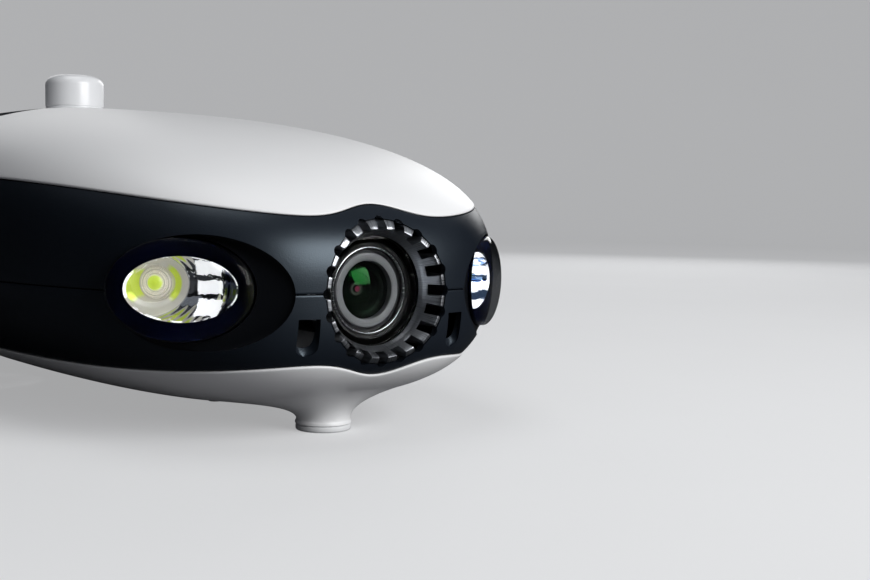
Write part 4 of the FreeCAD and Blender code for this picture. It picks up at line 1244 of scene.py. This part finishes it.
# ------------------------------------------------------------------------------ the vehicle
RING_AT = (0.0, -0.181, SEAM_Z)
ACROSS = (QUARTER, 0, 0)
FINISHES = (
    Moulded("shell_white", (0.78, 0.785, 0.795), (0.82, 0.825, 0.83), 0.42, 0.04, 900.0, 0.00001, 0.12),
    Moulded("belt_black", (0.0045, 0.0062, 0.0098), (0.0085, 0.0115, 0.0172), 0.35, 0.05, 3000.0, 0.00003,
            0.6, sheen=(0.72, 0.87, 1.0)),
    # Painted shade: the belt's finish made darker and less glossy for the lamp recesses.
    Moulded("recess_black", (0.002, 0.0025, 0.0035), (0.0035, 0.0042, 0.006), 0.36, 0.04, 3000.0, level=0.22),
    Brushed("bezel", (0.19, 0.20, 0.215), (0.46, 0.48, 0.51), RING_AT, 0.34),
    Glass("port_glass", (0.96, 0.97, 0.98), 1.18),
    Moulded("seal", (0.015, 0.015, 0.015), (0.03, 0.03, 0.03), 0.7, 0.1, 1500.0),
    Moulded("camera_metal", (0.002, 0.002, 0.0022), (0.004, 0.004, 0.0044), 0.45, 0.05, 1200.0),
    Brushed("trim_bright", (0.55, 0.56, 0.58), (0.75, 0.76, 0.78), RING_AT, 0.2),
    Ringed("baffle_grey", RING_AT, ACROSS, 0.016,
           ((0.0, (0.01, 0.01, 0.01)), (0.66, (0.02, 0.02, 0.02)), (0.675, (0.17, 0.175, 0.18)),
            (0.855, (0.20, 0.205, 0.21)), (0.87, (0.012, 0.012, 0.013))), 0.55, 24.0),
    Glass("lens_coated", (0.16, 0.20, 0.17), 1.62, (0.02, 0.24, 0.04)),
    Moulded("circuit", (0.01, 0.10, 0.05), (0.02, 0.16, 0.08), 0.35, 0.08, 800.0),
    Glass("lamp_glass", (0.98, 0.99, 1.0), 1.12),
    Moulded("lamp_mask", (0.0005, 0.0012, 0.007), (0.001, 0.0024, 0.013), 0.25, 0.03, 700.0, 0.00001, 0.05,
            level=0.07),
    Moulded("lamp_chrome", (0.86, 0.87, 0.89), (0.92, 0.93, 0.95), 0.06, 0.03, 500.0, 0.00001, 0.05,
            metallic=1.0),
    Moulded("lamp_can", (0.03, 0.03, 0.032), (0.05, 0.05, 0.052), 0.4, 0.06, 1500.0, metallic=0.8),
    Moulded("duct_black", (0.014, 0.015, 0.018), (0.026, 0.028, 0.033), 0.38, 0.06, 1800.0, 0.00003, 0.4),
    Moulded("motor_can", (0.30, 0.31, 0.33), (0.42, 0.43, 0.45), 0.3, 0.08, 1400.0, metallic=1.0),
    Moulded("propeller", (0.05, 0.052, 0.06), (0.08, 0.083, 0.092), 0.3, 0.06, 1500.0, 0.00002, 0.2, 0.2),
    Moulded("chassis", (0.035, 0.035, 0.04), (0.055, 0.055, 0.06), 0.5, 0.06, 1500.0),
    Moulded("tube_metal", (0.20, 0.21, 0.23), (0.28, 0.29, 0.31), 0.35, 0.06, 1500.0, metallic=1.0),
    Moulded("cell_wrap", (0.02, 0.10, 0.35), (0.03, 0.14, 0.42), 0.3, 0.05, 600.0),
    Moulded("socket_metal", (0.45, 0.45, 0.46), (0.55, 0.55, 0.56), 0.25, 0.06, 900.0, metallic=1.0),
    Moulded("cap_white", (0.78, 0.79, 0.81), (0.82, 0.83, 0.84), 0.3, 0.05, 900.0, 0.00001, 0.15, 0.25),
    Moulded("pad_white", (0.66, 0.67, 0.68), (0.74, 0.75, 0.76), 0.6, 0.08, 1300.0),
    Moulded("steel", (0.5, 0.5, 0.51), (0.6, 0.6, 0.61), 0.25, 0.06, 1600.0, metallic=1.0),
    Moulded("brass", (0.60, 0.44, 0.18), (0.74, 0.56, 0.26), 0.28, 0.06, 1600.0, metallic=1.0),
)
EYE_BANDS = ((0.0, (0.52, 0.66, 0.06)), (0.42, (0.56, 0.70, 0.10)), (0.50, (0.62, 0.62, 0.44)),
             (0.56, (0.44, 0.43, 0.36)), (0.62, (0.60, 0.57, 0.49)), (0.78, (0.56, 0.53, 0.46)),
             (0.83, (0.36, 0.35, 0.29)), (0.88, (0.60, 0.57, 0.50)), (1.0, (0.40, 0.38, 0.33)))
# Iris colours by fraction of its radius: a pink centre and pale rings, painted reflections, between dark
# rings.
IRIS_RINGS_AND_GLINTS = ((0.0, (0.95, 0.10, 0.30)), (0.36, (0.90, 0.12, 0.28)), (0.44, (0.01, 0.01, 0.01)),
              (0.55, (0.01, 0.01, 0.01)), (0.62, (0.55, 0.50, 0.45)), (0.72, (0.02, 0.02, 0.02)),
              (0.88, (0.38, 0.36, 0.34)), (0.97, (0.01, 0.01, 0.01)))


@dataclass
class Vehicle:
    """The whole vehicle: builds every piece, dresses it and fixes it to its body."""

    frame: dict
    fx: Effects
    finishes: dict[str, Material] = field(default_factory=dict)

    def fix(self, obj: Solid, slot: str, *nodes: str, material: Material | None = None,
            body: str = "hull") -> None:
        """Dresses a piece, fixes it to a body and hides the solids it stands for.

        Args:
            obj: the piece.
            slot: its material slot in the record.
            nodes: the solids it replaces, if any.
            material: its finish, where that isn't the slot's own.
            body: the body it rides on.
        """
        obj.data.materials.clear()
        obj.data.materials.append(material or self.finishes[slot])
        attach(obj, body)
        if nodes:
            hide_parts(*nodes)
        LOG.info("%s: %d points, rides on %s", obj.name, len(obj.data.vertices), body)

    def lamp_chrome(self, lamp: Lamp) -> Material:
        """Mirror finish with painted highlights and painted reflections of the source's colours, part of
        which glow.

        Masks: a disc round the source, a painted reflection of it, fades from beige to chrome; two
        lobes at its sides, a painted yellow-green reflection, lie where the distance across is most of
        the distance from the axis; level painted glint bands with wavy edges, and a painted highlight
        along the lip of the bowl, are bright. The port bowl is painted bluer, a painted reflection, and
        its disc stays low in the bowl; the starboard bowl has a painted dark reflection at its inboard
        end. The highlights and part of the disc glow.
        """
        s, near = Sheet("lamp_chrome_" + lamp.side.tag), lamp.side is Side.STARBOARD
        # Height, spacing and reach of the painted glint bands, and where the painted dark reflection starts.
        bar_at, bar_pitch, bars_x, painted_dark_x = 1.45 * MM, 7.0 * MM, 19.3 * MM, -24.4 * MM
        local = s.centred(lamp.eye().translation, lamp.tilt())
        rings = s.group(self.fx.rings, Vector=local, Radius=lamp.cup_r * MM, Waves=3.0)
        wobble = s.group(self.fx.drift, Vector=local, Scale=150.0).outputs["Mask"]
        x, y, z = s.add("SeparateXYZ", Vector=local).outputs
        part = rings.outputs["Fraction"]
        shift = s.math("MULTIPLY", s.math("SUBTRACT", wobble, 0.5), 5.0 * MM)
        across, up = s.math("ADD", x, shift), s.math("ADD", y, shift)
        sideways = s.math("DIVIDE", s.math("DIVIDE", s.math("ABSOLUTE", x), lamp.cup_r * MM), part)
        # Painted reflection of the source: a beige disc round it.
        disc = s.span(part, 1.72, 1.60)
        if not near:
            disc = s.math("MULTIPLY", disc, s.span(z, -9.0 * MM, -10.0 * MM))
        # Painted reflection of the source: yellow-green lobes at its sides.
        lobes = s.math("MULTIPLY", s.span(sideways, 0.62, 0.78), s.span(part, 1.33, 1.25))
        green = s.math("MULTIPLY", lobes, disc)
        # Painted highlights: level glint bands with wavy edges, painted reflections of studio lamps.
        wave = s.math("COSINE", s.math("MULTIPLY", s.math("SUBTRACT", up, bar_at), 2 * math.pi / bar_pitch))
        if near:
            reach = s.span(s.math("ABSOLUTE", s.math("ADD", across, bars_x)), 5.0 * MM, 4.4 * MM)
            painted_glint_bars = s.math("MULTIPLY", s.span(wave, -0.80, -0.62), reach)
        else:
            painted_glint_bars = s.math("MULTIPLY", s.span(wave, -0.25, 0.1), s.math("SUBTRACT", 1.0, disc))
        # Painted highlight along the lip of the bowl.
        window = s.centred(lamp.place(lamp.window_shift).translation, lamp.tilt())
        oval = s.add("SeparateXYZ", Vector=window).outputs
        squares = (s.math("POWER", s.math("DIVIDE", oval[axis], half * MM), 2.0)
                   for axis, half in (("X", lamp.window_a), ("Y", lamp.window_b)))
        lip = s.math("MULTIPLY", s.span(s.math("ADD", *squares), 0.90, 0.94), s.span(wobble, 0.44, 0.50))
        # Both painted highlights together.
        bright = s.math("MAXIMUM", painted_glint_bars, lip)
        # Painted reflections and painted highlights laid over the base colour in turn.
        painted_reflections = [(disc, (0.50, 0.485, 0.43)), (green, (0.52, 0.64, 0.07)), (bright, (0.95, 0.96, 0.98))]
        # Base colour: painted blue on the port bowl, a painted reflection; plain chrome on the starboard
        # bowl.
        tint: object = (0.26, 0.41, 0.68)
        if near:
            tint = (0.90, 0.91, 0.93)
            # Painted dark reflection: navy at the inboard end of the starboard bowl.
            painted_reflections.insert(2, (s.span(across, painted_dark_x, painted_dark_x - 1.0 * MM), (0.05, 0.06, 0.11)))
        for fac, over in painted_reflections:
            tint = s.mix(fac, tint, over)
        # Painted glow: the painted highlights and part of the painted source reflection give off light.
        painted_glow = s.math("MAXIMUM", bright, s.math("MULTIPLY", disc, 0.45))
        return s.finish(
            Base_Color=tint, Roughness=s.span(disc, 0.0, 1.0, 0.05, 0.35),
            Metallic=s.span(s.math("MAXIMUM", disc, bright), 0.0, 1.0, 1.0, 0.3),
            Normal=s.bump(rings.outputs["Wave"], 0.2, 0.0002),
            Emission_Color=s.mix(painted_glow, (0.0, 0.0, 0.0), tint), Emission_Strength=0.75)

    def build(self) -> None:
        """Builds and dresses every piece."""
        self.finishes.update({finish.name: finish.make(self.fx) for finish in FINISHES})
        slots = {part["node"]: part["material_slot"] for part in self.frame["record"]["subparts"]}
        for name, node in self.frame["nodes"].items():
            if slots[name] in self.finishes:
                node.data.materials.clear()
                node.data.materials.append(self.finishes[slots[name]])
        hull = HullForm()
        lamps = [Lamp(side) for side in Side]
        housings = Housings(hull)
        for node, skin in housings.build(lamps).items():
            self.fix(skin, "shell_white" if "shell" in node else "belt_black", node)
        self.fix(Fairing(housings.tether_y).build(hull), "shell_white")
        feet = Feet(hull)
        for index in range(len(feet.places)):
            self.fix(feet.foot(index), "shell_white")
        self.fix(feet.pads(), "pad_white", "foot_pads")
        camera = Camera(hull)
        self.fix(camera.bezel(), "bezel", "lens_ring")
        self.fix(camera.glass(), "port_glass", "port_glass")
        self.fix(camera.trim(), "trim_bright", "trim_ring")
        self.fix(camera.baffle(), "baffle_grey", "lens_baffle")
        self.fix(camera.lens(), "lens_coated", "lens_glass")
        self.fix(camera.well(), "camera_metal")
        self.fix(camera.inner_elements(), "camera_metal")
        # Painted reflections on the iris element, which also glow.
        iris = Ringed("iris_tint", (0.0, -0.17, SEAM_Z), ACROSS, 0.0023, IRIS_RINGS_AND_GLINTS, 0.2, 2.0, 0.6)
        self.fix(camera.iris(), "lens_coated", material=iris.make(self.fx))
        for lamp in lamps:
            self.fit_lamp(lamp, hull, housings.belt_inset)
        self.fix(TetherCap(housings.tether_y).build(), "cap_white", "tether_cap", body="tether_cap")

    def fit_lamp(self, lamp: Lamp, hull: HullForm, inset: float) -> None:
        """Builds and dresses the pieces of one lamp."""
        tag = lamp.side.tag
        # Lamp recess in the belt's finish painted darker: painted shade.
        self.fix(lamp.recess(hull, inset), "belt_black", material=self.finishes["recess_black"])
        self.fix(lamp.glass(), "lamp_glass", "lamp_glass_" + tag)
        self.fix(lamp.mask(), "lamp_mask", "lamp_mask_" + tag)
        # Chrome with painted reflections and painted highlights, shared by the bowl and the cup.
        chrome = self.lamp_chrome(lamp)
        self.fix(lamp.reflector(), "lamp_chrome", "lamp_reflector_" + tag, material=chrome)
        self.fix(lamp.cup(), "lamp_chrome", material=chrome)
        eye = Ringed("lamp_eye_" + tag, tuple(lamp.eye().translation), lamp.tilt(), lamp.optic_r * MM,
                     EYE_BANDS, 0.2, 4.0, 0.5, 0.3)
        self.fix(lamp.source(), "lamp_source", "lamp_source_" + tag, "lamp_optic_" + tag,
                 material=eye.make(self.fx))


def main() -> None:
    """Loads the frame, builds the vehicle and its studio, and adds the camera."""
    logging.basicConfig(level=logging.INFO, format="%(name)s %(message)s")
    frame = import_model()
    fx = Effects()
    Vehicle(frame, fx).build()
    Studio().build(fx)
    Viewpoint().build()


if __name__ == "__main__":
    main()
